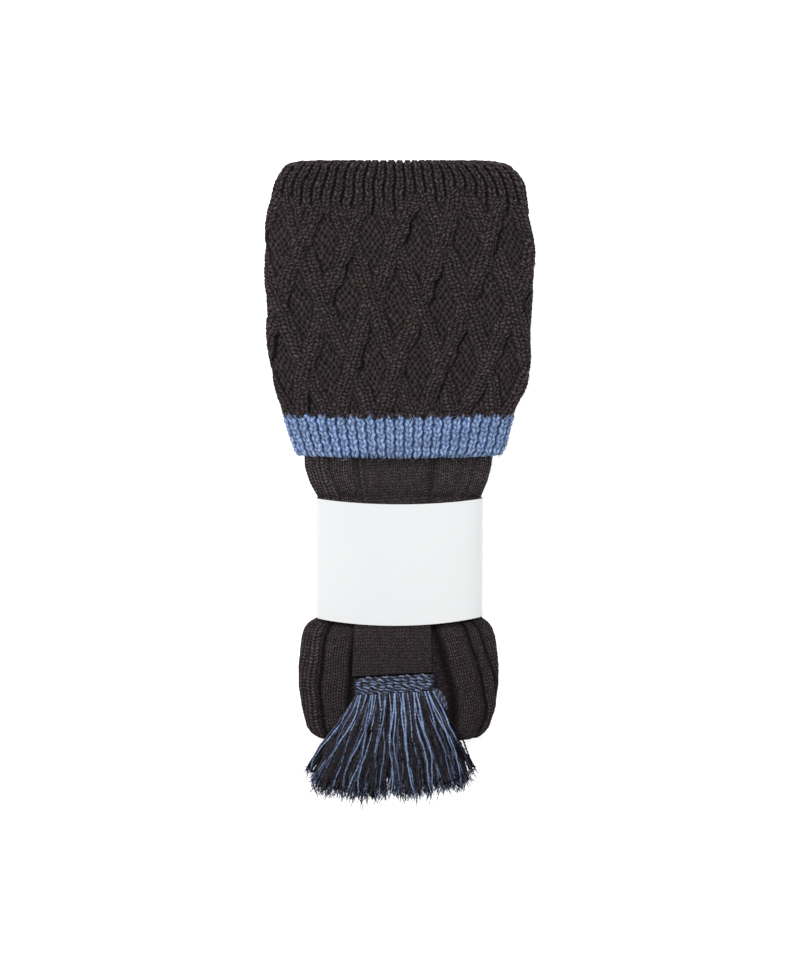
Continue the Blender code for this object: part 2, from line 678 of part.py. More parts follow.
def build_tassel():
    """Heading and fringe in one solid: the locks share edges on the backing and part below it."""
    verts = []
    index = {}

    def point(key, place):
        if key not in index:
            index[key] = len(verts)
            verts.append(place)
        return index[key]

    rows = len(HEAD_TABLE) + len(FRINGE_TABLE)
    split = len(HEAD_TABLE) + LOCK_SPLIT
    grid = []
    for lock in range(LOCK_COUNT):
        strip = []
        for r in range(rows):
            upper, lower = lock_row(lock, r)
            joined = r <= split
            keys = []
            for side, places in (("u", upper), ("l", lower)):
                left = (side, r, "edge", lock) if joined else (side, r, "left", lock)
                right = (side, r, "edge", lock + 1) if joined else (side, r, "right", lock)
                keys.append([point(left, places[0]), point((side, r, "mid", lock), places[1])])
                keys[-1].append(point(right, places[2]))
            strip.append(keys)
        grid.append(strip)
    faces = []
    for lock, strip in enumerate(grid):
        for r in range(rows - 1):
            for c in range(2):
                up, up_next = strip[r][0], strip[r + 1][0]
                low, low_next = strip[r][1], strip[r + 1][1]
                faces.append((up[c], up[c + 1], up_next[c + 1], up_next[c]))
                faces.append((low[c + 1], low[c], low_next[c], low_next[c + 1]))
            for c, at_side in ((0, lock == 0), (2, lock == LOCK_COUNT - 1)):
                if r >= split or at_side:
                    faces.append((strip[r][0][c], strip[r + 1][0][c], strip[r + 1][1][c], strip[r][1][c]))
        for r in (0, rows - 1):
            for c in range(2):
                faces.append((strip[r][0][c], strip[r][0][c + 1], strip[r][1][c + 1], strip[r][1][c]))
    return make_object("tassel", verts, faces)


# Paper band.
def build_paper_band():
    """Plain paper ring pulled round the bundle; its front edges bow towards the fringe."""
    points = oval(even_places(PAPER_STEPS), PAPER_STEPS, PAPER_POWER)
    pressed = LEG_FRONT_TABLE[3]
    half = ((pressed.mid + pressed.half) * STACK + STRAP_GAP + STRAP_THICK) / 2
    half += PAPER_GAP / 2 + PAPER_THICK / 2
    outside = []
    inside = []
    for t in (0.0, 0.33, 0.67, 1.0):
        y = BAND_TOP - BAND_HEIGHT * t
        bow = PAPER_BOW_TOP + (PAPER_BOW_FOOT - PAPER_BOW_TOP) * t
        for rings, inset in ((outside, 0.0), (inside, PAPER_THICK)):
            wide = BAND_HALF - inset
            ring = placed_ring(points, wide, wide, half - inset, (y, half), (0.0, 1.0))
            drops = [bow * (1 - s * s) * (h > 0) - PAPER_SKEW * t * s for s, h in points]
            rings.append([(v[0], v[1] - drop, v[2]) for v, drop in zip(ring, drops)])
    return swept_wall("paper_band", outside + inside[::-1])


# Materials and collection.
def plain_material(name, colour, roughness):
    """Simple surface with one colour."""
    material = bpy.data.materials.new(name)
    material.use_nodes = True
    shader = material.node_tree.nodes["Principled BSDF"]
    shader.inputs["Base Color"].default_value = (*colour, 1.0)
    shader.inputs["Roughness"].default_value = roughness
    material.diffuse_color = (*colour, 1.0)
    return material


def main():
    """Build every piece, centre the bundle on its box and colour it."""
    remove_old_objects()
    bundle = bpy.data.collections.new("folded_sock")
    bpy.context.scene.collection.children.link(bundle)
    finishes = {
        "turnover_cuff": ("charcoal_cable_knit", (0.045, 0.036, 0.040), 0.9),
        "cuff_trim": ("blue_rib_knit", (0.22, 0.30, 0.46), 0.9),
        "sock_leg": ("charcoal_rib_knit", (0.042, 0.034, 0.038), 0.9),
        "sock_foot": ("charcoal_plain_knit", (0.040, 0.033, 0.036), 0.9),
        "garter_strap": ("charcoal_fine_knit", (0.048, 0.039, 0.043), 0.9),
        "tassel": ("blue_charcoal_yarn", (0.085, 0.100, 0.140), 0.9),
        "paper_band": ("white_paper", (0.86, 0.86, 0.87), 0.6),
    }
    pieces = [
        build_cuff(),
        build_trim(),
        build_leg(),
        build_foot(),
        build_strap(),
        build_tassel(),
        build_paper_band(),
    ]
    corners = np.array([v.co[:] for piece in pieces for v in piece.data.vertices])
    low = corners.min(axis=0)
    high = corners.max(axis=0)
    shift = (-(low[0] + high[0]) / 2, -(low[1] + high[1]) / 2, -low[2])
    for piece in pieces:
        for vertex in piece.data.vertices:
            vertex.co.x += shift[0]
            vertex.co.y += shift[1]
            vertex.co.z += shift[2]
        bundle.objects.link(piece)
        piece.data.materials.append(plain_material(*finishes[piece.name]))


main()
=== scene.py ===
# %% [markdown]
# # A folded shooting sock in Blender
# The subject is a heavy knee-length sock, folded for the shop shelf: a cable-knit cuff turned over
# at the top, a blue ribbed trim on the cuff's edge, a ribbed leg that folds under at the bottom, a
# garter strap with a crocheted end and a fringe, and a plain paper band that holds it all together.
# A solid model of the bundle already exists. This lesson loads it as a fixed frame and dresses it,
# so each knitted surface is made again here with its stitches.

import bmesh
import bpy
import numpy as np
from mathutils import Matrix, Vector


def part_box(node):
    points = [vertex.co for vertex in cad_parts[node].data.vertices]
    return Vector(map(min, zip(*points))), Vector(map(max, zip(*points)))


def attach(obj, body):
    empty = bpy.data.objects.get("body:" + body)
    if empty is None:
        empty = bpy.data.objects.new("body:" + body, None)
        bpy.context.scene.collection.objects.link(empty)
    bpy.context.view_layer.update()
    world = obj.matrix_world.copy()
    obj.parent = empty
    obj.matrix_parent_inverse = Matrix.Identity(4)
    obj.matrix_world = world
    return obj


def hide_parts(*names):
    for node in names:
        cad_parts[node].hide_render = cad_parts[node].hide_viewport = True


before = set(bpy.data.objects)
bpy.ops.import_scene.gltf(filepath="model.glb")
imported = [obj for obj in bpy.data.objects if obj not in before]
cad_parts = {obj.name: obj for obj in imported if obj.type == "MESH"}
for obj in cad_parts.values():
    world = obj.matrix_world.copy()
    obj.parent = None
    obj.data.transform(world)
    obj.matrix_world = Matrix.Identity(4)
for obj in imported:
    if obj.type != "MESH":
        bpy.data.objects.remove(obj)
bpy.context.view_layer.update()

# %% [markdown]
# ## One ruler
# Sock sizes are easiest to think about in millimetres, so the tables below are in millimetres,
# with Y = 0 near the paper band, and one small function moves them into the frame's metres. The
# frame is centred on its own box, so the shift is read from two pieces whose places are known.

# %% The ruler
MM = 0.001
CUFF_TOP = 131.6
cuff_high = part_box("turnover_cuff")[1]
band_low, band_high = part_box("paper_band")
SHIFT = np.array([(band_low[0] + band_high[0]) / 2, cuff_high[1] - CUFF_TOP * MM, 0.0])


def to_frame(points):
    """Millimetres along the bundle to metres in the frame."""
    return np.asarray(points, dtype=float) * MM + SHIFT


print("shift of the ruler in millimetres:", (SHIFT / MM).round(2).tolist())

# %% [markdown]
# ## The camera
# The sock is seen from almost straight above, leaning a touch towards the cuff, with a long lens,
# so the bundle keeps its true proportions. The picture is taller than it is wide, so Blender fits
# the sensor to the height. The camera is built from its viewing direction instead of angles.

# %% Camera
SENSOR = 36.0
PICTURE_HEIGHT = 393.6
CAMERA_REACH = 1150.0
CAMERA_LEAN = 2.5
aim = np.array([0.2, 1.0, 20.0])
lean = np.radians(CAMERA_LEAN)
camera_place = aim + CAMERA_REACH * np.array([0.0, np.sin(lean), np.cos(lean)])
camera_data = bpy.data.cameras.new("camera")
camera_data.sensor_width = SENSOR
camera_data.lens = SENSOR * CAMERA_REACH / PICTURE_HEIGHT
camera = bpy.data.objects.new("camera", camera_data)
bpy.context.scene.collection.objects.link(camera)
back = Vector(camera_place - aim).normalized()
right = Vector((0.0, 1.0, 0.0)).cross(back).normalized()
turn = Matrix((right, back.cross(right), back)).transposed().to_4x4()
camera.matrix_world = Matrix.Translation(Vector(to_frame(camera_place))) @ turn
bpy.context.scene.camera = camera
print("lens:", round(camera_data.lens, 1), "mm")

# %% [markdown]
# ## The table and the light
# The table is a white light table: its top glows a little, so the shadow round the bundle almost
# goes away. A softbox beyond the cuff draws the stitches, a weak one near the fringe opens the
# shade under the cuff, and a dim white world fills the rest.

# %% Table and light
TABLE_REACH = 3.0
TABLE_GLOW = 0.78
WORLD_LIGHT = 0.43
WHITE = (1.0, 1.0, 1.0, 1.0)
picture = bpy.context.scene.view_settings
picture.view_transform = "Standard"
picture.look = "None"
floor_mesh = bpy.data.meshes.new("table_top")
corners = [(x * TABLE_REACH, y * TABLE_REACH, 0) for x, y in ((-1, -1), (1, -1), (1, 1), (-1, 1))]
floor_mesh.from_pydata(corners, [], [(0, 1, 2, 3)])
floor = bpy.data.objects.new("table_top", floor_mesh)
bpy.context.scene.collection.objects.link(floor)
floor_material = bpy.data.materials.new("table_white")
floor_material.use_nodes = True
floor_inputs = floor_material.node_tree.nodes["Principled BSDF"].inputs
floor_inputs["Base Color"].default_value = (0.93, 0.93, 0.93, 1.0)
floor_inputs["Roughness"].default_value = 0.8
floor_inputs["Emission Color"].default_value = WHITE
floor_inputs["Emission Strength"].default_value = TABLE_GLOW
floor_mesh.materials.append(floor_material)

world = bpy.data.worlds.new("studio")
world.use_nodes = True
world_inputs = world.node_tree.nodes["Background"].inputs
world_inputs["Color"].default_value = WHITE
world_inputs["Strength"].default_value = WORLD_LIGHT
bpy.context.scene.world = world


def panel(name, place, size, power):
    """A square softbox that looks at the middle of the bundle."""
    data = bpy.data.lights.new(name, "AREA")
    data.shape = "SQUARE"
    data.size = size
    data.energy = power
    lamp = bpy.data.objects.new(name, data)
    lamp.location = to_frame(place)
    away = Vector(to_frame(place)) - Vector(to_frame(aim))
    lamp.rotation_euler = away.to_track_quat("Z", "Y").to_euler()
    bpy.context.scene.collection.objects.link(lamp)


panel("softbox_top", (-110.0, 520.0, 940.0), 0.6, 9.8)
panel("softbox_low", (-700.0, -500.0, 800.0), 0.7, 0.8)

# %% [markdown]
# ## Tables that follow the bundle
# Each tube of the sock is described by a few rows: how wide it is to the left and right, its half
# thickness and the height of its middle. An eased curve between the rows keeps the outline soft.
# The numbers repeat the solid model's, so the stitches lie where the solids are.

# %% Outline tables
CUFF_HALF = 55.4
LEG_HALF = 41.2
FOOT_HALF = 40.0
TRIM_TOP = 27.2
TRIM_EDGE = 11.4
CUFF_WALL = 3.5
TRIM_WALL = 3.3
LEG_WALL = 2.3
LAYER_GAP = 0.4
MOUTH_SEAM = 118.0
ANKLE_SEAM = 95.0

# down the cuff as a share, left and right as shares of CUFF_HALF, half thickness, middle height
CUFF_TABLE = np.array([
    (0.000, 0.640, 0.600, 5.5, 22.2),
    (0.016, 0.800, 0.755, 5.5, 22.2),
    (0.044, 0.874, 0.858, 5.5, 22.2),
    (0.071, 0.910, 0.908, 5.5, 22.2),
    (0.125, 0.947, 0.940, 5.5, 22.2),
    (0.233, 0.984, 0.962, 5.3, 22.0),
    (0.341, 0.992, 0.992, 5.1, 21.7),
    (0.396, 1.000, 1.000, 5.0, 21.6),
    (0.504, 0.992, 0.992, 4.9, 21.4),
    (0.612, 0.977, 0.977, 4.8, 21.2),
    (0.720, 0.940, 0.940, 4.7, 21.0),
    (0.774, 0.918, 0.925, 4.6, 20.9),
    (0.828, 0.888, 0.888, 4.5, 20.8),
    (0.882, 0.858, 0.846, 4.4, 20.7),
    (0.936, 0.821, 0.814, 4.3, 20.5),
    (0.963, 0.799, 0.799, 4.3, 20.4),
    (1.000, 0.772, 0.760, 4.3, 20.3),
])


def eased(table, key):
    """Every column of a table at one key, on a smooth curve through its rows."""
    order = np.argsort(table[:, 0])
    rows = table[order]
    keys = rows[:, 0]
    slopes = np.gradient(rows, keys, axis=0)
    i = int(np.clip(np.searchsorted(keys, key) - 1, 0, len(keys) - 2))
    span = keys[i + 1] - keys[i]
    t = float(np.clip((key - keys[i]) / span, 0.0, 1.0))
    start = (1 + 2 * t) * (1 - t) ** 2 * rows[i] + t * (1 - t) ** 2 * span * slopes[i]
    end = t * t * (3 - 2 * t) * rows[i + 1] + t * t * (t - 1) * span * slopes[i + 1]
    return start + end


def cuff_size(y):
    """Left, right, half and middle of the leg inside the cuff."""
    row = eased(CUFF_TABLE, (CUFF_TOP - y) / (CUFF_TOP - TRIM_EDGE))
    outer = LAYER_GAP + CUFF_WALL
    return row[1] * CUFF_HALF - outer, row[2] * CUFF_HALF - outer, row[3], row[4]


print("cuff table rows:", len(CUFF_TABLE))

# %% [markdown]
# ## Walking round a flattened tube
# A folded sock is a tube pressed flat. Its section is a superellipse, an oval with a flat front. To
# put stitches of one size on it, points are placed by the distance round the oval: close together
# on the front, where the camera looks, and far apart on the hidden back.

# %% Points round an oval
SECTION_POWER = 2.8
HALF_STEPS = 3000
SIDE_MARGIN = 1.0


def oval_points(half_width, half_height, fine, coarse, power=SECTION_POWER):
    """Unit points round the oval and their distance from the middle of the front."""
    t = np.linspace(1.5 * np.pi, -0.5 * np.pi, 2 * HALF_STEPS + 1)
    xs, hs = (np.sign(wave) * np.abs(wave) ** (2 / power) for wave in (np.cos(t), np.sin(t)))
    steps = np.hypot(np.diff(xs * half_width), np.diff(hs * half_height))
    arc = np.concatenate([[0.0], np.cumsum(steps)])
    arc -= arc[HALF_STEPS]
    front = SIDE_MARGIN - np.interp(0.0, hs[:HALF_STEPS], arc[:HALF_STEPS])
    total = arc[-1]
    last = 2 * total - front
    places = np.array([*np.arange(-front, front, fine), *np.arange(front, last, coarse)[:-1]])
    places = places[places < last - 0.4 * coarse]
    wrapped = np.where(places > total, places - 2 * total, places)
    return np.interp(wrapped, arc, xs), np.interp(wrapped, arc, hs), wrapped


def tube_ring(unit_x, unit_h, left, right, half, centre, out=(0.0, 1.0)):
    """Places one oval: centre is (y, z) and out is the (y, z) direction of its front."""
    wide = unit_x * np.where(unit_x > 0, right, left)
    high = unit_h * half
    return np.stack([wide, centre[0] + high * out[0], centre[1] + high * out[1]], axis=1)


def unit(vectors):
    """Vectors scaled to length one."""
    return vectors / np.maximum(np.linalg.norm(vectors, axis=-1, keepdims=True), 1e-9)


def surface_normals(grid, closed_rows=False):
    """Outward normals of a grid of points: rows along the tube, columns round it."""
    if closed_rows:
        along = np.roll(grid, -1, axis=0) - np.roll(grid, 1, axis=0)
    else:
        along = np.gradient(grid, axis=0)
    around = np.roll(grid, -1, axis=1) - np.roll(grid, 1, axis=1)
    return unit(np.cross(around, along))


# %% [markdown]
# ## Two stitches
# Everything on a sock is made of two stitches. A knit stitch shows as a small V, and columns of Vs
# make the raised ribs. A purl stitch is the same loop seen from behind: a small oval bead.
# Both are written as height functions of the stitch count, so one surface can mix them.

# %% Knit and purl heights
# how far the two legs of a V lean: rows passed from the middle of a column to half a column away
LEAN = 1.3


def smooth(low, high, value):
    """0 below low, 1 above high, eased between."""
    t = np.clip((value - low) / (high - low), 0.0, 1.0)
    return t * t * (3 - 2 * t)


def waves(rows, u, v=0.0):
    """A sum of waves: each row holds a size, the rates along u and along v, and a start."""
    return sum(size * np.sin(rate_u * u + rate_v * v + start) for size, rate_u, rate_v, start in rows)


def knit_height(wale, course):
    """Height of V stitches from 0 to 1; wale counts columns and course counts rows."""
    across = wale - np.floor(wale) - 0.5
    leg = np.clip(1 - (np.abs(np.abs(across) - 0.25) / 0.25) ** 2.0, 0.0, 1.0) ** 0.7
    loop = 0.5 + 0.5 * np.cos(2 * np.pi * (course + LEAN * np.abs(across)))
    return leg * (0.25 + 0.75 * loop**0.7)


def purl_height(wale, course):
    """Height of purl bumps from 0 to 1: oval beads, each row set off by half a column."""
    bead = 0.5 + 0.5 * np.cos(2 * np.pi * wale) * np.cos(np.pi * course)
    return bead**0.8


print("knit height at a leg's middle:", round(float(knit_height(0.75, 0.71)), 2))

# %% [markdown]
# ## A mesh from a grid
# The knitted surfaces are grids of points with their own stitch coordinates. Writing them straight
# into a mesh is fast, and three values travel with every point: how deep it lies in the knit, which
# the materials turn into painted shade, how much it belongs to a V stitch, and how blue its yarn is.
# On the leg the blue value carries the painted light of the neck instead. The materials read them
# later.

# %% Grid to mesh


def knit_mesh(name, grid, wale, course, depth, knit=None, blue=None, close_rows=False):
    """A tube mesh with stitch coordinates as its UV map and three point values."""
    rows, cols = grid.shape[:2]
    row_count = rows if close_rows else rows - 1
    r, c = np.meshgrid(np.arange(row_count), np.arange(cols), indexing="ij")
    r2, c2 = (r + 1) % rows, (c + 1) % cols
    quads = np.stack([r * cols + c, r * cols + c2, r2 * cols + c2, r2 * cols + c], axis=-1).reshape(-1, 4)
    mesh = bpy.data.meshes.new(name)
    mesh.vertices.add(rows * cols)
    mesh.vertices.foreach_set("co", to_frame(grid.reshape(-1, 3)).ravel())
    mesh.loops.add(quads.size)
    mesh.loops.foreach_set("vertex_index", quads.ravel())
    mesh.polygons.add(len(quads))
    mesh.polygons.foreach_set("loop_start", np.arange(len(quads)) * 4)
    mesh.polygons.foreach_set("use_smooth", np.ones(len(quads), dtype=bool))
    mesh.update(calc_edges=True)
    stitches = mesh.uv_layers.new(name="stitches")
    pair = np.stack([wale, course], axis=-1).reshape(-1, 2)
    stitches.uv.foreach_set("vector", pair[quads.ravel()].astype(np.float32).ravel())
    zero = np.zeros(rows * cols)
    values = {"depth": depth, "knit": zero if knit is None else knit, "blue": zero if blue is None else blue}
    for key, value in values.items():
        layer = mesh.attributes.new(key, "FLOAT", "POINT")
        layer.data.foreach_set("value", np.asarray(value, dtype=np.float32).ravel())
    mesh.validate()
    piece = bpy.data.objects.new(name, mesh)
    bpy.context.scene.collection.objects.link(piece)
    print(name, "has", len(quads) * 2, "triangles")
    return piece


# %% [markdown]
# ## Wool
# Sock wool is matt and never one colour: charcoal yarn is spun from black, brown and grey fibres,
# and the blue one is heathered too. The material mixes noise at three sizes for the fibres, the
# flecks and slow shifts of hue, paints shade in the deep colour onto what lies deep between the
# stitches, paints glints of the lightest colour on the stitch tops, and adds the Vs again as fine
# bump, below what the mesh can carry.

# %% Node helpers


class Paint:
    """A new material, with short names for the nodes that wool and paper need."""

    def __init__(self, name):
        self.material = bpy.data.materials.new(name)
        self.material.use_nodes = True
        self.tree = self.material.node_tree
        self.shader = self.tree.nodes["Principled BSDF"]
        self.place = self.node("ShaderNodeTexCoord").outputs["Object"]

    def fill(self, inputs, values):
        """Links each input to a socket, or sets it to a number or colour."""
        for key, value in values.items():
            if isinstance(value, bpy.types.NodeSocket):
                self.tree.links.new(value, inputs[key])
            else:
                inputs[key].default_value = value

    def node(self, kind, values=None, **settings):
        """Adds a node, sets its options and fills or links its inputs."""
        made = self.tree.nodes.new(kind)
        for key, value in settings.items():
            setattr(made, key, value)
        self.fill(made.inputs, values or {})
        return made

    def value(self, name):
        """A number that travels with every point."""
        return self.node("ShaderNodeAttribute", attribute_name=name).outputs["Fac"]

    def math(self, operation, a, b=0.0, c=0.0):
        """One arithmetic step."""
        return self.node("ShaderNodeMath", {0: a, 1: b, 2: c}, operation=operation).outputs[0]

    def mixed(self, share, a, b, blend="MIX"):
        """Two colours mixed by a share."""
        values = {0: share, 6: a, 7: b}
        return self.node("ShaderNodeMix", values, data_type="RGBA", blend_type=blend).outputs[2]

    def spread(self, value, low, high, ends="SMOOTHSTEP"):
        """A value spread from 0 to 1 between two limits, with soft ends unless told otherwise."""
        values = {"Value": value, "From Min": low, "From Max": high}
        return self.node("ShaderNodeMapRange", values, interpolation_type=ends).outputs["Result"]

    def noise(self, scale, detail=2.0, rough=0.6):
        """Noise at so many features a metre, spread to fill 0 to 1."""
        values = {"Vector": self.place, "Scale": scale, "Detail": detail, "Roughness": rough}
        return self.spread(self.node("ShaderNodeTexNoise", values).outputs["Fac"], 0.3, 0.7, "LINEAR")

    def cover(self, colour, height, distance, strength, rough, shine):
        """Gives the shader its colour, fine bump and shine, and returns the material."""
        bump = self.node("ShaderNodeBump", {"Height": height, "Distance": distance, "Strength": strength})
        values = {"Base Color": colour, "Normal": bump.outputs["Normal"]}
        self.fill(self.shader.inputs, values | {"Roughness": rough, "Specular IOR Level": shine})
        return self.material


# %% The wool material
# three colours of a yarn: the painted shade deep between the stitches, its body, and its lightest
# fibres, which also make the painted glints on the stitch tops
CHARCOAL = ((0.0050, 0.0034, 0.0038, 1.0), (0.0430, 0.0322, 0.0345, 1.0), (0.165, 0.135, 0.142, 1.0))
FINE_CHARCOAL = ((0.0050, 0.0036, 0.0040, 1.0), (0.0365, 0.0280, 0.0300, 1.0), (0.140, 0.118, 0.124, 1.0))
# a lighter copy of the charcoal: painted light on the leg's neck, which lies in the cuff's shade
NECK_PAINTED_LIGHT = ((0.0072, 0.0056, 0.0060, 1.0), (0.0620, 0.0490, 0.0510, 1.0), (0.290, 0.245, 0.250, 1.0))
BLUE = ((0.042, 0.080, 0.195, 1.0), (0.256, 0.366, 0.602, 1.0), (0.500, 0.620, 0.800, 1.0))
# what the slow drift of hue does to a body's red, green and blue, at its two ends
COOL = np.array((0.93, 0.98, 1.05, 1.0))
WARM = np.array((1.06, 1.00, 0.95, 1.0))
# how much one stitch differs from the next in brightness, for the first yarn and the second
UNEVEN = (0.60, 0.65)


def stitch_nodes(paint):
    """From the stitch counts: the height of the stitch, and one chance number for each stitch."""
    math = paint.math
    knit = paint.value("knit")
    counts = paint.node("ShaderNodeUVMap", uv_map="stitches").outputs["UV"]
    parts = paint.node("ShaderNodeSeparateXYZ", {"Vector": counts}).outputs
    wale, course = parts["X"], parts["Y"]

    side = math("ABSOLUTE", math("SUBTRACT", math("FRACT", wale), 0.5))
    slant = math("MULTIPLY_ADD", side, LEAN, course)
    loop = math("MULTIPLY_ADD", math("COSINE", math("MULTIPLY", slant, 2 * np.pi)), 0.5, 0.5)
    off = math("MULTIPLY", math("SUBTRACT", side, 0.25), 4.0)
    leg = math("SUBTRACT", 1.0, math("MULTIPLY", off, off))
    vee = math("MULTIPLY", leg, math("MULTIPLY_ADD", loop, 0.75, 0.25))
    row = math("COSINE", math("MULTIPLY", course, np.pi))
    column = math("COSINE", math("MULTIPLY", wale, 2 * np.pi))
    bead = math("MULTIPLY_ADD", math("MULTIPLY", row, column), 0.5, 0.5)
    height = paint.node("ShaderNodeMix", {0: knit, 2: bead, 3: vee}, data_type="FLOAT").outputs[0]

    leg_number = math("FLOOR", math("MULTIPLY", wale, 2.0))
    loop_number = math("FLOOR", math("ADD", slant, 0.5))
    leg_name = paint.node("ShaderNodeCombineXYZ", {0: leg_number, 1: loop_number}).outputs[0]
    half = math("MULTIPLY", course, 0.5)
    one, two = (math("FLOOR", math("ADD", math(way, wale, half), 0.5)) for way in ("SUBTRACT", "ADD"))
    bead_name = paint.node("ShaderNodeCombineXYZ", {0: one, 1: two, 2: 5.0}).outputs[0]
    values = {0: math("GREATER_THAN", knit, 0.5), 4: bead_name, 5: leg_name}
    chosen = paint.node("ShaderNodeMix", values, data_type="VECTOR").outputs[1]
    return height, paint.node("ShaderNodeTexWhiteNoise", {"Vector": chosen}).outputs["Value"]


def wool(name, dark, other=None, bump=0.0005):
    """Knitted wool: dark holds (deep, body, light) colours; other is mixed in by the blue value."""
    paint = Paint(name)
    math, mixed, spread = paint.math, paint.mixed, paint.spread
    depth = paint.value("depth")
    stitch, chance = stitch_nodes(paint)
    fibre = paint.noise(2300.0)
    fleck = paint.noise(900.0)
    drift = paint.noise(70.0, 3.0)

    def body(colours, uneven):
        deep, middle, light = colours
        bright = math("MULTIPLY_ADD", chance, uneven, 1.0 - 0.5 * uneven)
        streaks = math("MULTIPLY", math("MULTIPLY_ADD", fibre, 1.6, 0.20), bright)
        tint = paint.node("ShaderNodeCombineXYZ", {0: streaks, 1: streaks, 2: streaks}).outputs[0]
        base = mixed(1.0, mixed(drift, middle * COOL, middle * WARM), tint, "MULTIPLY")
        # painted glints: the lightest colour on the stitch tops, where fibre and fleck noise meet
        glint = math("MULTIPLY", math("MULTIPLY", fleck, fibre), spread(stitch, 0.3, 0.9))
        # painted shade: the deep colour where the stitch is low or the depth value is low
        well = math("MULTIPLY", spread(stitch, -0.08, 0.62), spread(depth, 0.02, 0.60))
        return mixed(well, deep, mixed(glint, base, light))

    colour = body(dark, UNEVEN[0])
    if other is not None:
        colour = mixed(paint.value("blue"), colour, body(other, UNEVEN[1]))
    height = math("MULTIPLY_ADD", fibre, 0.22, math("MULTIPLY_ADD", chance, 0.25, stitch))
    paint.fill(paint.shader.inputs, {"Sheen Weight": 0.02, "Sheen Roughness": 0.6})
    return paint.cover(colour, height, bump, 1.0, 0.95, 0.06)


cuff_wool = wool("charcoal_cable_wool", CHARCOAL, BLUE)
trim_wool = wool("blue_rib_wool", CHARCOAL, BLUE)
leg_wool = wool("charcoal_rib_wool", CHARCOAL, NECK_PAINTED_LIGHT)
foot_wool = wool("charcoal_plain_wool", CHARCOAL)
strap_wool = wool("charcoal_fine_wool", FINE_CHARCOAL, bump=0.00028)
print("wool materials:", len([m for m in bpy.data.materials if m.name.endswith("wool")]))

# %% [markdown]
# ## The turnover cuff
# The cuff is the sock's show piece. Its top folds over as a one-by-one rib, then raised ropes of
# three knit columns cross each other and leave diamonds of purl between them. The ropes are two sets
# of slanting lines. At each crossing one rope goes over the other, turn about, as the knitter
# swaps the stitches on a cable needle.

# %% The cable lattice
DIAMOND_WIDTH = 19.7
DIAMOND_HEIGHT = 51.6
DIAMOND_X = -1.6
DIAMOND_Y = 72.6
ROPE_HALF = 3.9
ROPE_ROUND = 0.62
UNDER_ROPE = 0.84
WALE = 2.2
COURSE = 1.72
# waves along y and round the tube that keep the lattice from being ruled
WANDER = [(0.45, 0.14, 0.11, 0.5), (0.30, 0.61, -0.37, 2.0)]
STRETCH = [(0.90, 0.0, 0.13, 0.5), (0.40, 0.31, 0.47, 0.0)]
SWELL = [(0.09, 0.35, 0.9, 0.0), (0.06, 1.35, 0.0, 0.0)]
JITTER = [(0.06, 0.7, 1.9, 0.0), (0.06, 2.3, -1.1, 0.0)]
LAG = [(0.18, 0.23, 0.9, 0.0), (0.10, 1.7, 0.6, 0.0)]


def rope_lines(arc, y):
    """For both sets of ropes: the distance from the nearest one, the distance along it, its number."""
    across = (arc - DIAMOND_X) / DIAMOND_WIDTH
    along = (y - DIAMOND_Y) / DIAMOND_HEIGHT
    tilt = np.cos(np.arctan2(DIAMOND_WIDTH, DIAMOND_HEIGHT))
    found = []
    for sign in (1, -1):
        phase = across + sign * along + 0.5
        number = np.round(phase)
        found.append(((phase - number) * DIAMOND_WIDTH * tilt, y / tilt, number))
    return found


def crease(away, width, run, number):
    """Painted shade and a sink beside a rope: deep on its right, faint on its left, not the whole way."""
    open_here = np.sin(0.21 * run + 2.4 * number) * np.sin(0.10 * run - 1.1 * number)
    right = np.exp(-(((away - width - 0.05) / 0.50) ** 2))
    left = np.exp(-(((away + width + 0.05) / 0.45) ** 2))
    return np.clip(0.35 + 0.9 * open_here, 0.05, 1.0) * (right + 0.30 * left)


def lattice(arc, y):
    """Height of the ropes, how much is knit, the stitch coordinates and the creases."""
    arc, y = arc + waves(WANDER, y, arc), y + waves(STRETCH, y, arc)
    (away_a, run_a, num_a), (away_b, run_b, num_b) = rope_lines(arc, y)
    width = ROPE_HALF * (1 + waves(SWELL, y, arc))
    shape_a, shape_b = (np.clip(1 - (away / width) ** 2, 0.0, 1.0) ** ROPE_ROUND for away in (away_a, away_b))
    a_over = ((num_a + num_b) % 2) == 0
    near = smooth(0.0, 0.9, np.minimum(shape_a, shape_b))
    lift_a = UNDER_ROPE * shape_a * (1 + 0.30 * near * np.where(a_over, 1, -1))
    lift_b = shape_b * (1 + 0.35 * near * np.where(a_over, -1, 1))
    fold_a = 0.45 * crease(away_a, width, run_a, num_a) * np.where(a_over, 1.0, 1 - shape_b)
    fold_b = crease(away_b, width, run_b, num_b) * np.where(a_over, 1 - shape_a, 1.0)
    use_a = lift_a >= lift_b
    height = np.maximum(lift_a, lift_b)
    away = np.where(use_a, away_a, away_b)
    run = np.where(use_a, run_a, run_b)
    knit = smooth(0.15, 0.45, height)
    on_rope = knit > 0.02
    wale = np.where(on_rope, away / ROPE_HALF + 1.0, arc / (WALE * 1.10)) + waves(JITTER, y, arc)
    course = np.where(on_rope, -run / (COURSE * 0.96), -y / (COURSE * 1.02)) + waves(LAG, y, arc)
    return height, knit, wale, course, np.maximum(fold_a, fold_b)


sample = lattice(np.array([0.0]), np.array([DIAMOND_Y]))
print("height in a diamond's middle:", round(float(sample[0][0]), 2))

# %% The cuff's rows and stitches
FINE = 0.40
COARSE = 2.4
SECTION_RISE = CUFF_WALL + 5.5
RIB_ZONE = 18.0
RIB_SPACING = 4.5
RELIEF = 1.75
RELIEF_SINK = 0.95
TRIM_BOW = 0.9
BLUE_TIP = 2.37
RAGGED = [(0.50, 0.83, 0.0, 1.0), (0.30, 2.1, 0.0, 0.0), (0.20, 3.7, 0.0, 2.0)]
CUFF_HAIRS = 4200


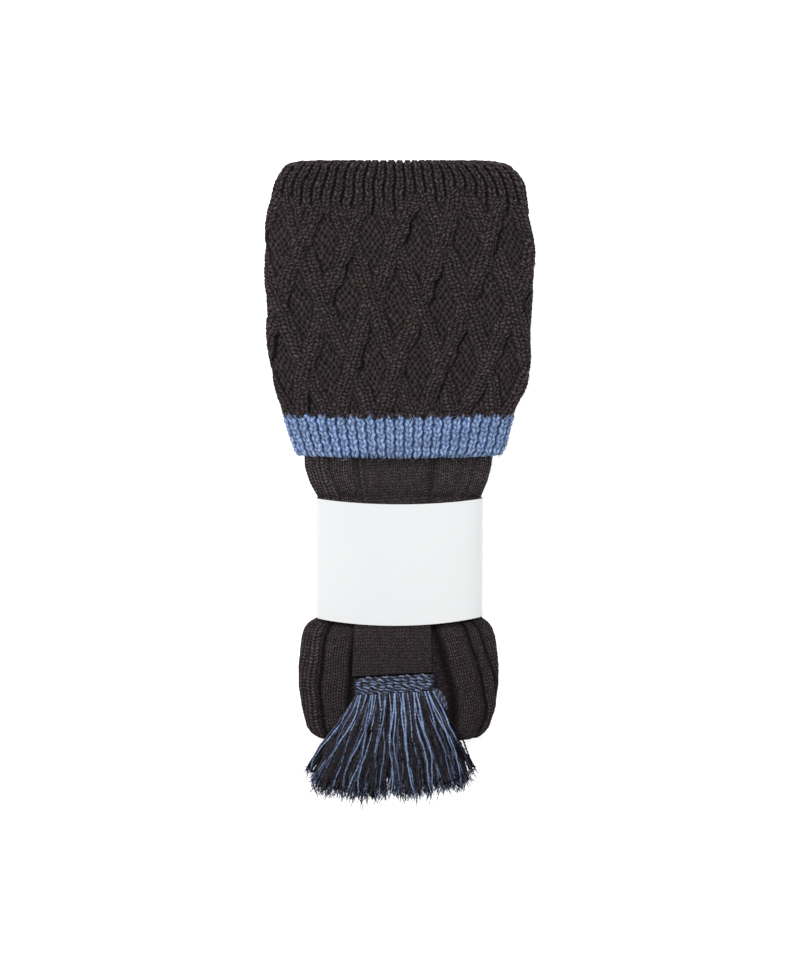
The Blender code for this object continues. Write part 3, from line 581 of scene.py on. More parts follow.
def cuff_rows():
    """The wall's path: up the outside, over the fold, down the inside, then back in the gap."""
    outer = LAYER_GAP + CUFF_WALL - RELIEF_SINK
    radius = (outer + LEG_WALL) / 2
    middle = (outer - LEG_WALL) / 2
    fold_y = CUFF_TOP - RELIEF_SINK - 0.3 - radius
    rows = [(y, outer, 1.0) for y in np.arange(TRIM_TOP + 0.1, fold_y, FINE)]
    for t in np.linspace(0.0, np.pi, 22):
        rows.append((fold_y + radius * np.sin(t), middle + radius * np.cos(t), 0.55 + 0.45 * np.cos(t)))
    rows += [(y, -LEG_WALL, 0.1) for y in (125.6, 123.0, 120.0, MOUTH_SEAM)]
    rows += [(MOUTH_SEAM, -0.2, 0.0), (126.6, -0.1, 0.0), (126.8, LAYER_GAP, 0.0)]
    rows += [(y, LAYER_GAP, 0.0) for y in (110.0, 90.0, 70.0, 50.0, 36.0, TRIM_TOP + 0.1)]
    return rows


def turned_wall(rows, unit_x, unit_h):
    """Rings of the turned-over wall from rows of y, distance outside the leg and share of relief."""
    grid = []
    for y, offset, _ in rows:
        left, right, half, mid = cuff_size(y)
        ring = tube_ring(unit_x, unit_h, left + offset, right + offset, half + offset, (y, mid))
        bow = TRIM_BOW * np.clip((TRIM_TOP - y) / (TRIM_TOP - TRIM_EDGE), 0.0, 1.0)
        ring[:, 1] -= bow * np.clip(unit_h, 0.0, 1.0) * (1 - unit_x**2)
        grid.append(ring)
    return np.array(grid)


def blue_share(arc, y):
    """Blue below a ragged line of stitch tips that sags in the middle, charcoal above it."""
    tips = np.abs(2 * (arc / BLUE_TIP - np.floor(arc / BLUE_TIP)) - 1)
    edge = TRIM_TOP + 0.2 + 0.9 * tips + waves(RAGGED, arc) - 1.2 * (1 - (arc / 60.0) ** 2)
    return smooth(0.20, -0.20, y - edge)


def build_cuff():
    """The turned-over cuff with its lattice, as one closed wall."""
    unit_x, unit_h, arc = oval_points(CUFF_HALF, SECTION_RISE, FINE, COARSE)
    rows = cuff_rows()
    grid = turned_wall(rows, unit_x, unit_h)
    normals = surface_normals(grid, closed_rows=True)
    side = grid[:, len(arc) // 4]
    length = np.concatenate([[0.0], np.cumsum(np.linalg.norm(np.diff(side, axis=0), axis=1))])
    ys, arcs = np.meshgrid(TRIM_TOP + length, arc, indexing="ij")
    share = np.array([r[2] for r in rows])[:, None]
    front = smooth(-0.25, 0.35, unit_h)[None, :]

    height, knit, wale, course, folds = lattice(arcs, ys)
    rib_phase = (arcs + 0.35 * np.sin(0.5 * ys + 0.2 * arcs)) / RIB_SPACING
    rib = np.round(rib_phase)
    away = rib_phase - rib
    rib_high = smooth(1.0, 0.55, np.abs(away) * 2)
    rib_end = CUFF_TOP - RIB_ZONE + 3.2 * np.sin(12.9 * rib) + 6.0 * (height - 0.45)
    in_rib = smooth(rib_end - 2.0, rib_end + 2.0, ys)
    relief = (RELIEF * height - 0.75 * folds) * (1 - in_rib) + (RELIEF * rib_high - 0.55) * in_rib
    ribbed = in_rib > 0.5
    knit = np.where(ribbed, 1.0, knit)
    loose = waves([(0.10, 1.4, 2.7, 0.0), (0.07, 3.1, 1.0, 0.0)], ys, rib)
    wale = np.where(ribbed, away / 0.86 + 0.5 + loose * (1 - 2 * np.abs(away)), wale)
    slip = 0.4 * rib + 0.30 * np.sin(0.8 * ys + 1.9 * rib)
    course = np.where(ribbed, -ys / (COURSE * 1.1) + slip, course)

    stitch = knit * knit_height(wale, course) + (1 - knit) * purl_height(wale, course)
    micro = (0.54 * knit + 0.42 * (1 - knit)) * (stitch - 0.5)
    unevenness = 0.22 * np.sin(arcs * 0.61 + 1.3) * np.sin(ys * 0.23 + 0.4)
    lift = (relief + micro + unevenness) * front * share + (relief * 0.25) * (1 - front) * share
    placed = grid + normals * lift[:, :, None]
    # painted shade: the depth value falls in the diamonds, in the creases and between the top's ribs
    open_depth = 0.36 + 0.28 * height - 0.66 * folds
    depth = np.clip(open_depth * (1 - in_rib) + 0.72 * rib_high * in_rib, 0.0, 1.0)
    shells.append((placed, normals, front * share > 0.6, 0.0, CUFF_HAIRS))
    return knit_mesh("cable_cuff", placed, wale, course, depth, knit, blue_share(arcs, ys), close_rows=True)


# for the stray fibres: points, normals, where the wool is open, the blue value and how many hairs
shells = []
cable_cuff = build_cuff()
cable_cuff.data.materials.append(cuff_wool)
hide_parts("turnover_cuff")
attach(cable_cuff, "root")

# %% [markdown]
# ## The blue trim
# The free edge of the cuff is a one-by-one rib in light blue: a column of knit Vs stands up, a purl
# column sinks between two of them, and the whole edge bows a little. It is knitted on the same oval
# as the cuff, with finer points, as it is what the eye goes to first.

# %% The trim
TRIM_SPACING = 4.75
TRIM_COURSE = 2.05
TRIM_FINE = 0.34
TRIM_TURN = 1.3
TRIM_HAIRS = 750


def build_trim():
    """The ribbed blue edge, as one closed wall."""
    unit_x, unit_h, arc = oval_points(CUFF_HALF, SECTION_RISE, TRIM_FINE, COARSE)
    outer = LAYER_GAP + TRIM_WALL - 0.75
    top = TRIM_TOP + 0.5
    rows = [(y, outer, 1.0) for y in np.arange(top, TRIM_EDGE + 1.5, -TRIM_FINE)]
    for t in np.linspace(0.0, np.pi, 12):
        inward = TRIM_TURN * (np.cos(t) - 1)
        rows.append((TRIM_EDGE + 1.5 - TRIM_TURN * np.sin(t), outer + inward, 0.5 + 0.5 * np.cos(t)))
    rows += [(y, LAYER_GAP + 0.1, 0.0) for y in (TRIM_EDGE + 1.8, 19.0, top - 0.4)]
    grid = turned_wall(rows, unit_x, unit_h)
    normals = -surface_normals(grid, closed_rows=True)
    ys, arcs = np.meshgrid([r[0] for r in rows], arc, indexing="ij")
    share = np.array([r[2] for r in rows])[:, None]
    zigzag = 0.32 * np.sin(2 * np.pi * ys / (TRIM_COURSE * 1.9) + 0.9 * np.round(arcs / TRIM_SPACING))
    phase = (arcs + zigzag) / TRIM_SPACING
    column = np.round(phase)
    away = phase - column
    high = smooth(1.0, 0.55, np.abs(away) * 2)
    loose = waves([(0.09, 1.1, 2.3, 0.0), (0.06, 2.7, -1.0, 0.0)], ys, column)
    wale = away / 0.90 + 0.5 + loose * (1 - 2 * np.abs(away))
    slip = 0.37 * column + waves([(0.25, 0.0, 1.7, 0.0), (0.22, 0.7, 2.1, 0.0)], ys, column)
    course = -ys / TRIM_COURSE + slip
    stitch = knit_height(wale, course)
    front = smooth(-0.25, 0.35, unit_h)[None, :]
    lift = (1.15 * high - 0.25 + 0.8 * (stitch - 0.5) * (0.4 + 0.6 * high)) * front * share
    placed = grid + normals * lift[:, :, None]
    # painted shade: the depth value falls between the ribs and between the stitches
    depth = np.clip(0.62 * high + 0.30 * (stitch - 0.4), 0.0, 1.0)
    end = smooth(0.985, 0.995, unit_x)[None, :] * smooth(TRIM_EDGE + 11.0, TRIM_EDGE + 6.0, ys)
    blue = np.where(share > 0.4, blue_share(arcs, ys) * (1 - 0.9 * end), 1.0)
    shells.append((placed, normals, front * share > 0.6, 0.9, TRIM_HAIRS))
    return knit_mesh("blue_trim", placed, wale, course, depth, np.ones(wale.shape), blue, close_rows=True)


blue_trim = build_trim()
blue_trim.data.materials.append(trim_wool)
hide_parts("cuff_trim")
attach(blue_trim, "root")

# %% [markdown]
# ## The leg
# The leg is one long tube that comes out of the cuff, runs under the paper band, turns under at the
# lower fold and goes back up behind. Wide and narrow ribs run along it, with a plain panel in the
# middle. The rows are close together only where the wool shows.

# %% The leg's places
# y, left and right as shares of LEG_HALF, half thickness, middle height, share of the rib's height
LEG_FRONT = [
    (6.5, 0.945, 0.915, 4.1, 18.2, 0.5),
    (0.5, 0.900, 0.880, 3.9, 16.8, 0.8),
    (-3.5, 0.850, 0.840, 3.5, 15.7, 0.7),
    (-6.5, 0.812, 0.812, 3.1, 14.35, 0.0),
    (-55.9, 0.812, 0.812, 3.1, 14.35, 0.0),
    (-56.7, 0.868, 0.855, 3.1, 14.35, 0.2),
    (-58.0, 0.915, 0.895, 3.1, 14.35, 0.4),
    (-60.4, 0.955, 0.935, 3.15, 14.4, 0.8),
    (-63.6, 0.975, 0.955, 4.0, 15.9, 1.0),
    (-68.0, 0.988, 0.968, 4.7, 16.9, 1.0),
    (-75.0, 1.003, 0.985, 5.0, 17.3, 1.0),
    (-84.0, 1.003, 0.988, 4.8, 17.3, 1.0),
    (-92.0, 0.975, 0.962, 4.0, 17.2, 1.0),
]
# turn in degrees, left and right as shares, share of the rib's height
LEG_FOLD = [
    (0.0, 0.925, 0.895, 0.85),
    (36.0, 0.880, 0.845, 0.5),
    (72.0, 0.830, 0.800, 0.15),
    (108.0, 0.815, 0.790, 0.05),
    (144.0, 0.835, 0.820, 0.0),
    (180.0, 0.860, 0.850, 0.0),
]
LEG_BACK = [
    (-64.0, 0.870, 0.860, 2.7, 8.8, 0.0),
    (-55.0, 0.775, 0.775, 2.45, 8.45, 0.0),
    (-8.5, 0.775, 0.775, 2.45, 8.45, 0.0),
    (4.0, 0.860, 0.860, 2.6, 8.8, 0.0),
    (30.0, 0.970, 0.970, 2.9, 9.3, 0.0),
    (ANKLE_SEAM, 0.960, 0.960, 2.9, 9.3, 0.0),
]
FOLD_Y = -100.75
FOLD_RADIUS = 4.05
FOLD_HALF = 3.0
FOLD_MID = 17.0


def leg_stations():
    """left, right, half, y, z, front's y, front's z and rib share, from the mouth to the ankle."""
    stations = []
    for y in (MOUTH_SEAM - 0.3, 96.0, 76.0, 56.0, 38.0, TRIM_TOP, 18.75, 10.8):
        left, right, half, mid = cuff_size(y)
        stations.append((left, right, half, y, mid, 0.0, 1.0, 0.3))
    for y, left, right, half, mid, rib in LEG_FRONT:
        stations.append((left * LEG_HALF, right * LEG_HALF, half, y, mid, 0.0, 1.0, rib))
    for turn_angle, left, right, rib in LEG_FOLD:
        t = np.radians(turn_angle)
        place = (FOLD_Y - FOLD_RADIUS * np.sin(t), FOLD_MID - FOLD_RADIUS + FOLD_RADIUS * np.cos(t))
        stations.append((left * LEG_HALF, right * LEG_HALF, FOLD_HALF, *place, -np.sin(t), np.cos(t), rib))
    for y, left, right, half, mid, rib in LEG_BACK:
        stations.append((left * LEG_HALF, right * LEG_HALF, half, y, mid, 0.0, -1.0, rib))
    return np.array(stations)


def dense_stations(stations, shown, fine, coarse):
    """Adds places between the stations: fine where shown says so."""
    gaps = np.linalg.norm(np.diff(stations[:, 3:5] + stations[:, 5:7] * stations[:, 2:3], axis=0), axis=1)
    path = np.concatenate([[0.0], np.cumsum(gaps)])
    wanted = [0.0]
    while wanted[-1] < path[-1]:
        y = np.interp(wanted[-1], path, stations[:, 3])
        z = np.interp(wanted[-1], path, stations[:, 6])
        wanted.append(wanted[-1] + (fine if shown(y, z) else coarse))
    wanted[-1] = path[-1]
    wanted = np.unique(np.concatenate([wanted, path]))
    keep = np.concatenate([[True], np.diff(wanted) > 0.05])
    wanted = wanted[keep]
    dense = np.stack([np.interp(wanted, path, stations[:, k]) for k in range(stations.shape[1])], axis=1)
    soft = dense.copy()
    for _ in range(6):
        soft[1:-1] = (dense[:-2] + 2 * dense[1:-1] + dense[2:]) / 4
        dense = soft.copy()
    return dense, wanted


# %% The leg's ribs
LEG_FINE = 0.46
LEG_COARSE = 4.0
LEG_COURSE = 1.36
LEG_PANEL = 0.38
PANEL_WALE = 1.50
LEG_HAIRS = 1400
# middle and half width as shares of the half width, height in millimetres, knit columns
LEG_RIBS = [
    (-0.945, 0.065, 0.9, 2),
    (-0.835, 0.050, 1.1, 1),
    (-0.605, 0.130, 1.0, 5),
    (0.530, 0.125, 1.1, 5),
    (0.755, 0.050, 1.0, 2),
    (0.905, 0.070, 0.9, 3),
]
# middle, half width and depth of the channels beside them
LEG_CHANNELS = [
    (-0.745, 0.022, 1.1),
    (-0.445, 0.028, 1.3),
    (0.355, 0.046, 1.0),
    (0.690, 0.018, 1.0),
    (0.820, 0.015, 0.8),
]


def leg_pattern(share, y):
    """Rib height, knit share and column count across the leg's front, from -1 to 1."""
    down = np.clip((-58.0 - y) / 28.0, 0.0, 1.4)
    share = share - 0.17 * down * smooth(0.0, 0.36, share) + 0.05 * down * smooth(0.0, 0.40, -share)
    share = share + 0.006 * np.sin(0.35 * y + 9.0 * share)
    height = np.zeros_like(share)
    knit = smooth(LEG_PANEL + 0.03, LEG_PANEL, np.abs(share))
    wale = share * LEG_HALF / PANEL_WALE
    for middle, wide, high, columns in LEG_RIBS:
        local = (share - middle) / wide
        bump = np.clip(1 - np.abs(local) ** 3.0, 0.0, 1.0) ** 0.6
        height = np.maximum(height, high * bump)
        inside = np.abs(local) < 1.0
        knit = np.where(inside, smooth(1.0, 0.85, np.abs(local)), knit)
        wale = np.where(inside, (local + 1) / 2 * columns, wale)
    for middle, wide, deep in LEG_CHANNELS:
        height = height - deep * np.exp(-(((share - middle) / wide) ** 2))
    return height, knit, wale


def leg_shown(y, z):
    """True where the leg's front lies open: below the band, and in the neck above it."""
    return z > -0.4 and (y < -51.0 or -10.0 < y < 16.0)


def build_leg():
    """The ribbed tube, outside and inside, as one closed wall."""
    unit_x, unit_h, arc = oval_points(LEG_HALF, 4.5, LEG_FINE, COARSE)
    stations = leg_stations()
    dense, path = dense_stations(stations, leg_shown, LEG_FINE, LEG_COARSE)
    outer = np.array([tube_ring(unit_x, unit_h, *row[:3], row[3:5], row[5:7]) for row in dense])
    normals = surface_normals(outer)
    if normals[10, np.argmin(np.abs(arc)), 2] < 0:
        normals = -normals
    y, rib = dense[:, 3][:, None], dense[:, 7][:, None]
    share = np.broadcast_to(unit_x, outer.shape[:2])
    height, knit, wale = leg_pattern(share, y)
    along = np.broadcast_to(path[:, None], share.shape)
    column = np.floor(wale)
    stagger = np.where(np.abs(share) < LEG_PANEL, 0.05, 0.31)
    vees = along / LEG_COURSE + stagger * column + 0.12 * np.sin(0.6 * along + 2.0 * column)
    beads = 1.75 * along / LEG_COURSE + 0.12 * np.sin(0.7 * along + share * 30.0)
    course = np.where(knit > 0.5, vees, beads)
    stitch = knit * knit_height(wale, course) + (1 - knit) * purl_height(wale, course)
    front = smooth(-0.05, 0.45, unit_h)[None, :]
    micro = (0.42 * knit + 0.26 * (1 - knit)) * (stitch - 0.5)
    lift = front * (height * rib + micro * smooth(0.0, 0.2, rib))
    placed = outer + normals * lift[:, :, None]
    # painted light: the neck, in the cuff's shade, gets less painted shade and the lighter neck colours
    neck = smooth(-12.0, -8.0, y) * (dense[:, 6] > 0)[:, None]
    # painted shade: the depth value falls in the channels and between the stitches
    depth = np.clip(0.42 + 0.38 * height + 0.3 * (stitch - 0.5), 0.0, 1.0) + 0.26 * neck
    depth = np.where(front > 0.5, depth, 0.55)
    shells.append((placed, normals, (front > 0.6) & (y < 16.0) & (normals[:, :, 2] > 0.4), 0.0, LEG_HAIRS))

    inner = [tube_ring(unit_x, unit_h, *(row[:3] - LEG_WALL), row[3:5], row[5:7]) for row in stations[::-1]]
    flat = np.zeros((len(inner), len(arc)))
    inner_course = flat + np.linspace(0, 200, len(inner))[:, None]
    neck = np.broadcast_to(neck, share.shape)
    inside = (flat + arc / 2.3, inner_course, flat + 0.4, flat, flat)
    # the neck share travels as the blue value, for the painted light of the neck
    values = [np.concatenate(pair) for pair in zip((wale, course, depth, knit, neck), inside)]
    return knit_mesh("ribbed_leg", np.concatenate([placed, inner]), *values, close_rows=True)


ribbed_leg = build_leg()
ribbed_leg.data.materials.append(leg_wool)
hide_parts("sock_leg")
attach(ribbed_leg, "root")

# %% [markdown]
# ## The foot behind
# Behind the leg lies the foot, folded up at the heel, with its closed toe under the lower fold. It is
# plain knit, seen only when the bundle is turned over, so its stitches are a little coarser.

# %% The foot
# y, width as a share of FOOT_HALF, half thickness, middle height
FOOT_TOP = [(95.3, 0.985, 2.9, 9.3), (106.0, 0.975, 2.8, 9.28)]
FOOT_SOLE = [
    (104.0, 0.980, 2.95, 2.95),
    (60.0, 1.000, 3.0, 3.0),
    (20.0, 0.950, 3.0, 3.0),
    (3.0, 0.860, 2.8, 2.9),
    (-5.5, 0.730, 2.45, 3.25),
    (-57.5, 0.730, 2.45, 3.25),
    (-66.0, 0.880, 2.8, 2.8),
    (-80.0, 0.830, 2.7, 2.7),
    (-88.0, 0.700, 2.5, 2.65),
    (-91.5, 0.560, 2.2, 2.65),
    (-93.6, 0.380, 1.6, 2.65),
    (-94.1, 0.080, 0.3, 2.65),
]
HEEL_Y = 117.0
HEEL_RADIUS = 3.1
HEEL_HALF = 2.55
HEEL_MID = 9.25
FOOT_FINE = 1.1
FOOT_STEP = 0.9
FOOT_WALE = 2.6
FOOT_COURSE = 2.0
TOE_WALL = 1.6
ANKLE_WALL = 2.0


def build_foot():
    """Foot with an open ankle and a closed toe; the sole is pressed flat on the table."""
    stations = [(w * FOOT_HALF, w * FOOT_HALF, half, y, mid, 0.0, -1.0, 0.0) for y, w, half, mid in FOOT_TOP]
    for t in np.radians(np.arange(0.0, 181.0, 30.0)):
        wide = FOOT_HALF * (0.96 - 0.06 * np.sin(t))
        y = HEEL_Y + HEEL_RADIUS * np.sin(t)
        z = HEEL_MID - HEEL_RADIUS + HEEL_RADIUS * np.cos(t)
        stations.append((wide, wide, HEEL_HALF, y, z, -np.sin(t), -np.cos(t), 0.5))
    stations += [(w * FOOT_HALF, w * FOOT_HALF, half, y, mid, 0.0, 1.0, 1.0) for y, w, half, mid in FOOT_SOLE]
    unit_x, unit_h, arc = oval_points(FOOT_HALF, 3.0, FOOT_FINE, FOOT_FINE)
    dense, path = dense_stations(np.array(stations), lambda y, z: True, FOOT_STEP, FOOT_STEP)
    outer = []
    for row in dense:
        pressed = np.where(unit_h < 0, np.maximum(unit_h * (1 + 0.06 * row[7]), -1.0), unit_h)
        outer.append(tube_ring(unit_x, pressed, *row[:3], row[3:5], row[5:7]))
    outer = np.array(outer)
    normals = surface_normals(outer)
    if (normals[40, :, 2] * np.sign(unit_h)).mean() < 0:
        normals = -normals
    wale = np.broadcast_to(arc / FOOT_WALE, outer.shape[:2])
    course = np.broadcast_to(path[:, None] / FOOT_COURSE, outer.shape[:2])
    stitch = knit_height(wale, course)
    placed = outer - normals * (0.22 * (1 - stitch))[:, :, None]
    walls = [(row, TOE_WALL) for row in dense[-8:4:-6]] + [(dense[0], ANKLE_WALL)]
    inner = [tube_ring(unit_x, unit_h, *(row[:3] - wall), row[3:5], row[5:7]) for row, wall in walls]
    extra = np.zeros((len(inner), len(arc)))
    # painted shade between the stitches
    depth = np.clip(0.25 + 0.6 * stitch, 0, 1)
    halves = ((wale, extra), (course, extra), (depth, extra + 0.4), (np.ones(wale.shape), extra))
    values = [np.concatenate(pair) for pair in halves]
    return knit_mesh("plain_foot", np.concatenate([placed, inner]), *values, close_rows=True)


plain_foot = build_foot()
plain_foot.data.materials.append(foot_wool)
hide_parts("sock_foot")
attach(plain_foot, "root")

# %% [markdown]
# ## The garter strap
# The garter is a narrow band of fine plain knit. It comes out from under the paper and lies in the
# middle of the lower leg. Its stitches are about three fifths as wide as the leg's, and its two
# edges curl down.

# %% The strap
LEG_ROWS = np.array([(r[0], max(r[1], r[2]) * LEG_HALF, r[3], r[4]) for r in LEG_FRONT])[::-1]


def leg_top(x, y):
    """Height of the leg's front under the garter, without its ribs."""
    wide, half, mid = (np.interp(y, LEG_ROWS[:, 0], LEG_ROWS[:, k]) for k in (1, 2, 3))
    return mid + half * (1 - np.clip(np.abs(x) / wide, 0, 1) ** SECTION_POWER) ** (1 / SECTION_POWER)


STRAP_TOP_Y = -13.0
STRAP_FOOT_Y = -78.4
STRAP_FINE = 0.34
STRAP_THICK = 2.2
STRAP_EDGE = 0.45
STRAP_WALE = 1.38
STRAP_COURSE = 1.30
STRAP_GAP = 0.4
HEAD_SLOPE = 0.055


def build_strap():
    """The fine knit strap as one closed flat tube."""
    ys = np.arange(STRAP_TOP_Y, STRAP_FOOT_Y, -STRAP_FINE)
    t = (STRAP_TOP_Y - ys) / (STRAP_TOP_Y - STRAP_FOOT_Y)
    left, right = (17.2 + 2.4 * t)[:, None], (12.4 + 1.2 * t)[:, None]
    over = np.linspace(-1.0, 1.0, 98)
    under = np.linspace(1.0, -1.0, 12)[1:-1]
    s = np.concatenate([over, under])[None, :]
    is_under = np.arange(s.size)[None, :] >= len(over)
    x = np.where(s > 0, s * right, s * left)
    y = np.broadcast_to(ys[:, None], x.shape) + HEAD_SLOPE * x * (t**3)[:, None]
    base = leg_top(x, y) + STRAP_GAP
    curl = np.clip(1 - np.abs(s) ** 14, 0, 1)
    round_top = STRAP_EDGE + (STRAP_THICK - STRAP_EDGE) * curl**0.5
    wale = x / STRAP_WALE + 0.08 * np.sin(1.3 * y + 0.8 * x)
    slip = 0.10 * np.sin(0.4 * x + 0.3 * y) + 0.14 * np.sin(2.4 * np.floor(wale))
    course = (STRAP_TOP_Y - y) / STRAP_COURSE + slip
    stitch = knit_height(wale, course)
    edge_rib = 0.25 * np.exp(-(((np.abs(s) - 0.93) / 0.045) ** 2))
    top = base + round_top + edge_rib + 0.34 * (stitch - 0.6) * curl
    grid = np.stack([x, y, np.where(is_under, base + 0.02, top)], axis=2)
    # painted shade between the stitches and on the strap's curled edges
    depth = np.clip(0.30 + 0.75 * stitch - 0.25 * (np.abs(s) > 0.97), 0, 1)
    return knit_mesh("fine_strap", grid, wale, course, depth, np.ones(x.shape))


def close_ends(piece):
    """Fills the open ends of a tube."""
    work = bmesh.new()
    work.from_mesh(piece.data)
    edges = [e for e in work.edges if e.is_boundary]
    bmesh.ops.holes_fill(work, edges=edges, sides=0)
    bmesh.ops.recalc_face_normals(work, faces=work.faces)
    work.to_mesh(piece.data)
    work.free()


fine_strap = build_strap()
close_ends(fine_strap)
fine_strap.data.materials.append(strap_wool)
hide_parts("garter_strap")
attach(fine_strap, "root")

# %% [markdown]
# ## Yarn as tubes
# The heading and the fringe are bare yarn, so they are made of real tubes. One helper sweeps a small
# round section along many paths at once and joins them in one mesh. Two thin tubes that wind round
# each other make a plied yarn. Each yarn keeps its own colour value.

# %% Sweep many tubes
# a direction that no yarn runs along, to measure the turn round a yarn from
UPWARD = np.array([0.12, 0.21, 0.97])


def across(paths):
    """Two unit directions at right angles to each path, at each of its points."""
    tangent = unit(np.gradient(paths, axis=1))
    side = unit(np.cross(tangent, UPWARD))
    return side, np.cross(tangent, side)


def sweep(paths, radii, sides=6):
    """Points and faces of round tubes along paths of equal length, with closed ends."""
    paths = np.asarray(paths, dtype=float)
    count, steps, _ = paths.shape
    side, other = across(paths)
    angle = (np.linspace(0, 2 * np.pi, sides, endpoint=False) - 0.5 * np.pi)[:, None]
    ring = np.cos(angle) * side[:, :, None, :] + np.sin(angle) * other[:, :, None, :]
    radii = np.broadcast_to(radii, (count, steps))
    points = paths[:, :, None, :] + ring * radii[:, :, None, None]
    n, s, a = np.meshgrid(np.arange(count), np.arange(steps - 1), np.arange(sides), indexing="ij")
    base = (n * steps + s) * sides
    a2 = (a + 1) % sides
    quads = np.stack([base + a, base + a2, base + sides + a2, base + sides + a], axis=-1)
    first = (np.arange(count) * steps * sides)[:, None] + np.arange(sides)[::-1]
    last = (np.arange(1, count + 1) * steps * sides - sides)[:, None] + np.arange(sides)
    return points.reshape(-1, 3), quads.reshape(-1, 4).tolist() + first.tolist() + last.tolist()


def yarn_mesh(name, parts):
    """Joins swept tubes; parts holds (points, faces, blue value for each point, depth for each point)."""
    points, faces, blues, depths = [], [], [], []
    start = 0
    for part_points, part_faces, blue, depth in parts:
        points.append(part_points)
        faces += [[i + start for i in face] for face in part_faces]
        blues.append(np.broadcast_to(blue, len(part_points)))
        depths.append(np.broadcast_to(depth, len(part_points)))
        start += len(part_points)
    mesh = bpy.data.meshes.new(name)
    mesh.from_pydata(to_frame(np.concatenate(points)).tolist(), [], faces)
    for key, value in (("blue", np.concatenate(blues)), ("depth", np.concatenate(depths))):
        layer = mesh.attributes.new(key, "FLOAT", "POINT")
        layer.data.foreach_set("value", value.astype(np.float32))
    mesh.polygons.foreach_set("use_smooth", np.ones(len(mesh.polygons), dtype=bool))
    mesh.update()
    piece = bpy.data.objects.new(name, mesh)
    bpy.context.scene.collection.objects.link(piece)
    print(name, "has", sum(len(f) - 2 for f in faces), "triangles")
    return piece


def plied(paths, radius, pitch, start, grow=1.0):
    """Two strands that wind round each path, wider where grow says so: returns their paths."""
    paths = np.asarray(paths, dtype=float)
    steps = np.linalg.norm(np.diff(paths, axis=1), axis=2)
    length = np.concatenate([np.zeros((len(paths), 1)), np.cumsum(steps, axis=1)], axis=1)
    side, other = across(paths)
    angle = (2 * np.pi * length / pitch + np.asarray(start)[:, None])[:, :, None]
    spread = np.broadcast_to(radius * grow, length.shape)[:, :, None]
    turns = (angle, angle + np.pi)
    return [paths + (np.cos(turn) * side + np.sin(turn) * other) * spread for turn in turns]


# %% [markdown]
# ## The crocheted heading
# The strap ends in a band of crochet: a few rows of chain stitch in blue and charcoal, wrapped
# round the end. Each row is two strands that wind round each other over a soft core, and their
# colours change from row to row.

# %% The heading
HEAD_LEFT = -18.8
HEAD_RIGHT = 14.2
# y and height of each row of chain above the leg, and how blue its two strands are
HEAD_ROWS = [
    (-79.5, 2.4, 0.60, 0.05),
    (-80.7, 3.2, 0.72, 0.10),
    (-81.9, 3.7, 0.12, 0.62),
    (-83.1, 3.9, 0.78, 0.08),
    (-84.3, 3.7, 0.62, 0.15),
    (-85.4, 3.1, 0.70, 0.04),
]
# y, height above the leg and radius of the soft core's rolls
HEAD_CORE = [(-80.6, 1.6, 1.2), (-82.8, 1.9, 1.7), (-84.8, 1.7, 1.4)]
HEAD_END_YARNS = 6


def head_height(x):
    """Height of the leg's front below the heading."""
    return leg_top(x, -83.0)


def build_heading():
    """Rows of chain stitch round a soft core, and the loose end of the yarn at the right."""
    parts = []
    for k, (row_y, lift, *blues) in enumerate(HEAD_ROWS):
        tuck = 0.4 * abs(k - 2.5)
        x = np.linspace(HEAD_LEFT + tuck, HEAD_RIGHT + 0.8 * (k < 3) - 0.4 * tuck, 150)
        rise = 0.9 * np.clip((x - 2.0) / 12.0, 0, 1) ** 2 * (0.4 + 0.2 * k)
        wobble = 0.20 * np.sin(x * 0.9 + k * 2.1) + 0.12 * np.sin(x * 2.3 + k)
        bend = ((x + 2.2) / 16.8) ** 8
        y = row_y + HEAD_SLOPE * x + wobble + 0.35 * rise - 0.25 * bend * (2.5 - k)
        path = np.stack([x, y, head_height(x) + lift - bend], axis=1)
        for strand, blue in zip(plied(path[None], 0.25, 3.3, [k * 2.4]), blues):
            points, faces = sweep(strand, 0.34, 6)
            patch = blue - 0.20 + 0.22 * np.sin(points[:, 0] * 0.8 + k * 1.7)
            # painted shade on the underside of each strand
            low = points[:, 2] - (head_height(points[:, 0]) + lift)
            parts.append((points, faces, np.clip(patch, 0, 1), np.clip(0.42 + 0.9 * low, 0, 1)))
    x = np.linspace(HEAD_LEFT + 0.6, HEAD_RIGHT + 0.2, 26)
    for core_y, lift, radius in HEAD_CORE:
        core = np.stack([x, core_y + HEAD_SLOPE * x, head_height(x) + lift], axis=1)
        # painted shade: the core lies under the chains, so its depth value is low
        parts.append((*sweep(core[None], radius, 8), 0.15, 0.2))
    t = np.linspace(0, 1, 30)
    for k in range(HEAD_END_YARNS):
        x = HEAD_RIGHT + (3.2 + 0.55 * k) * t - 0.8 * np.sin(3.0 * t + k)
        y = -84.6 - 5.8 * t**1.6 - 0.5 * k * t + 0.5 * np.sin(6.0 * t + 1.3 * k)
        z = head_height(HEAD_RIGHT) + 2.9 - 0.9 * t + 0.3 * np.sin(4.0 * t + k)
        path = np.stack([x, y, z], axis=1)
        for strand, blue in zip(plied(path[None], 0.24, 2.6, [k * 1.1]), (0.55, 0.05)):
            parts.append((*sweep(strand, 0.28, 5), blue * (0.4 + 0.6 * (k % 2)), 0.4))
    return parts


heading_parts = build_heading()
print("tubes in the heading:", len(heading_parts))

# %% [markdown]
# ## The fringe
# The fringe is cut yarn that hangs from the heading, spreads like a fan over the lower fold and comes
# to rest on the table. Dark strands make the body and blue ones, single and in pairs, lie among
# them. Each is plied, wanders a little, and comes apart into thin fibres at its cut end.

# %% The fringe's path
FRINGE_TOP_Y = -86.0
FRINGE_LENGTH = 44.5
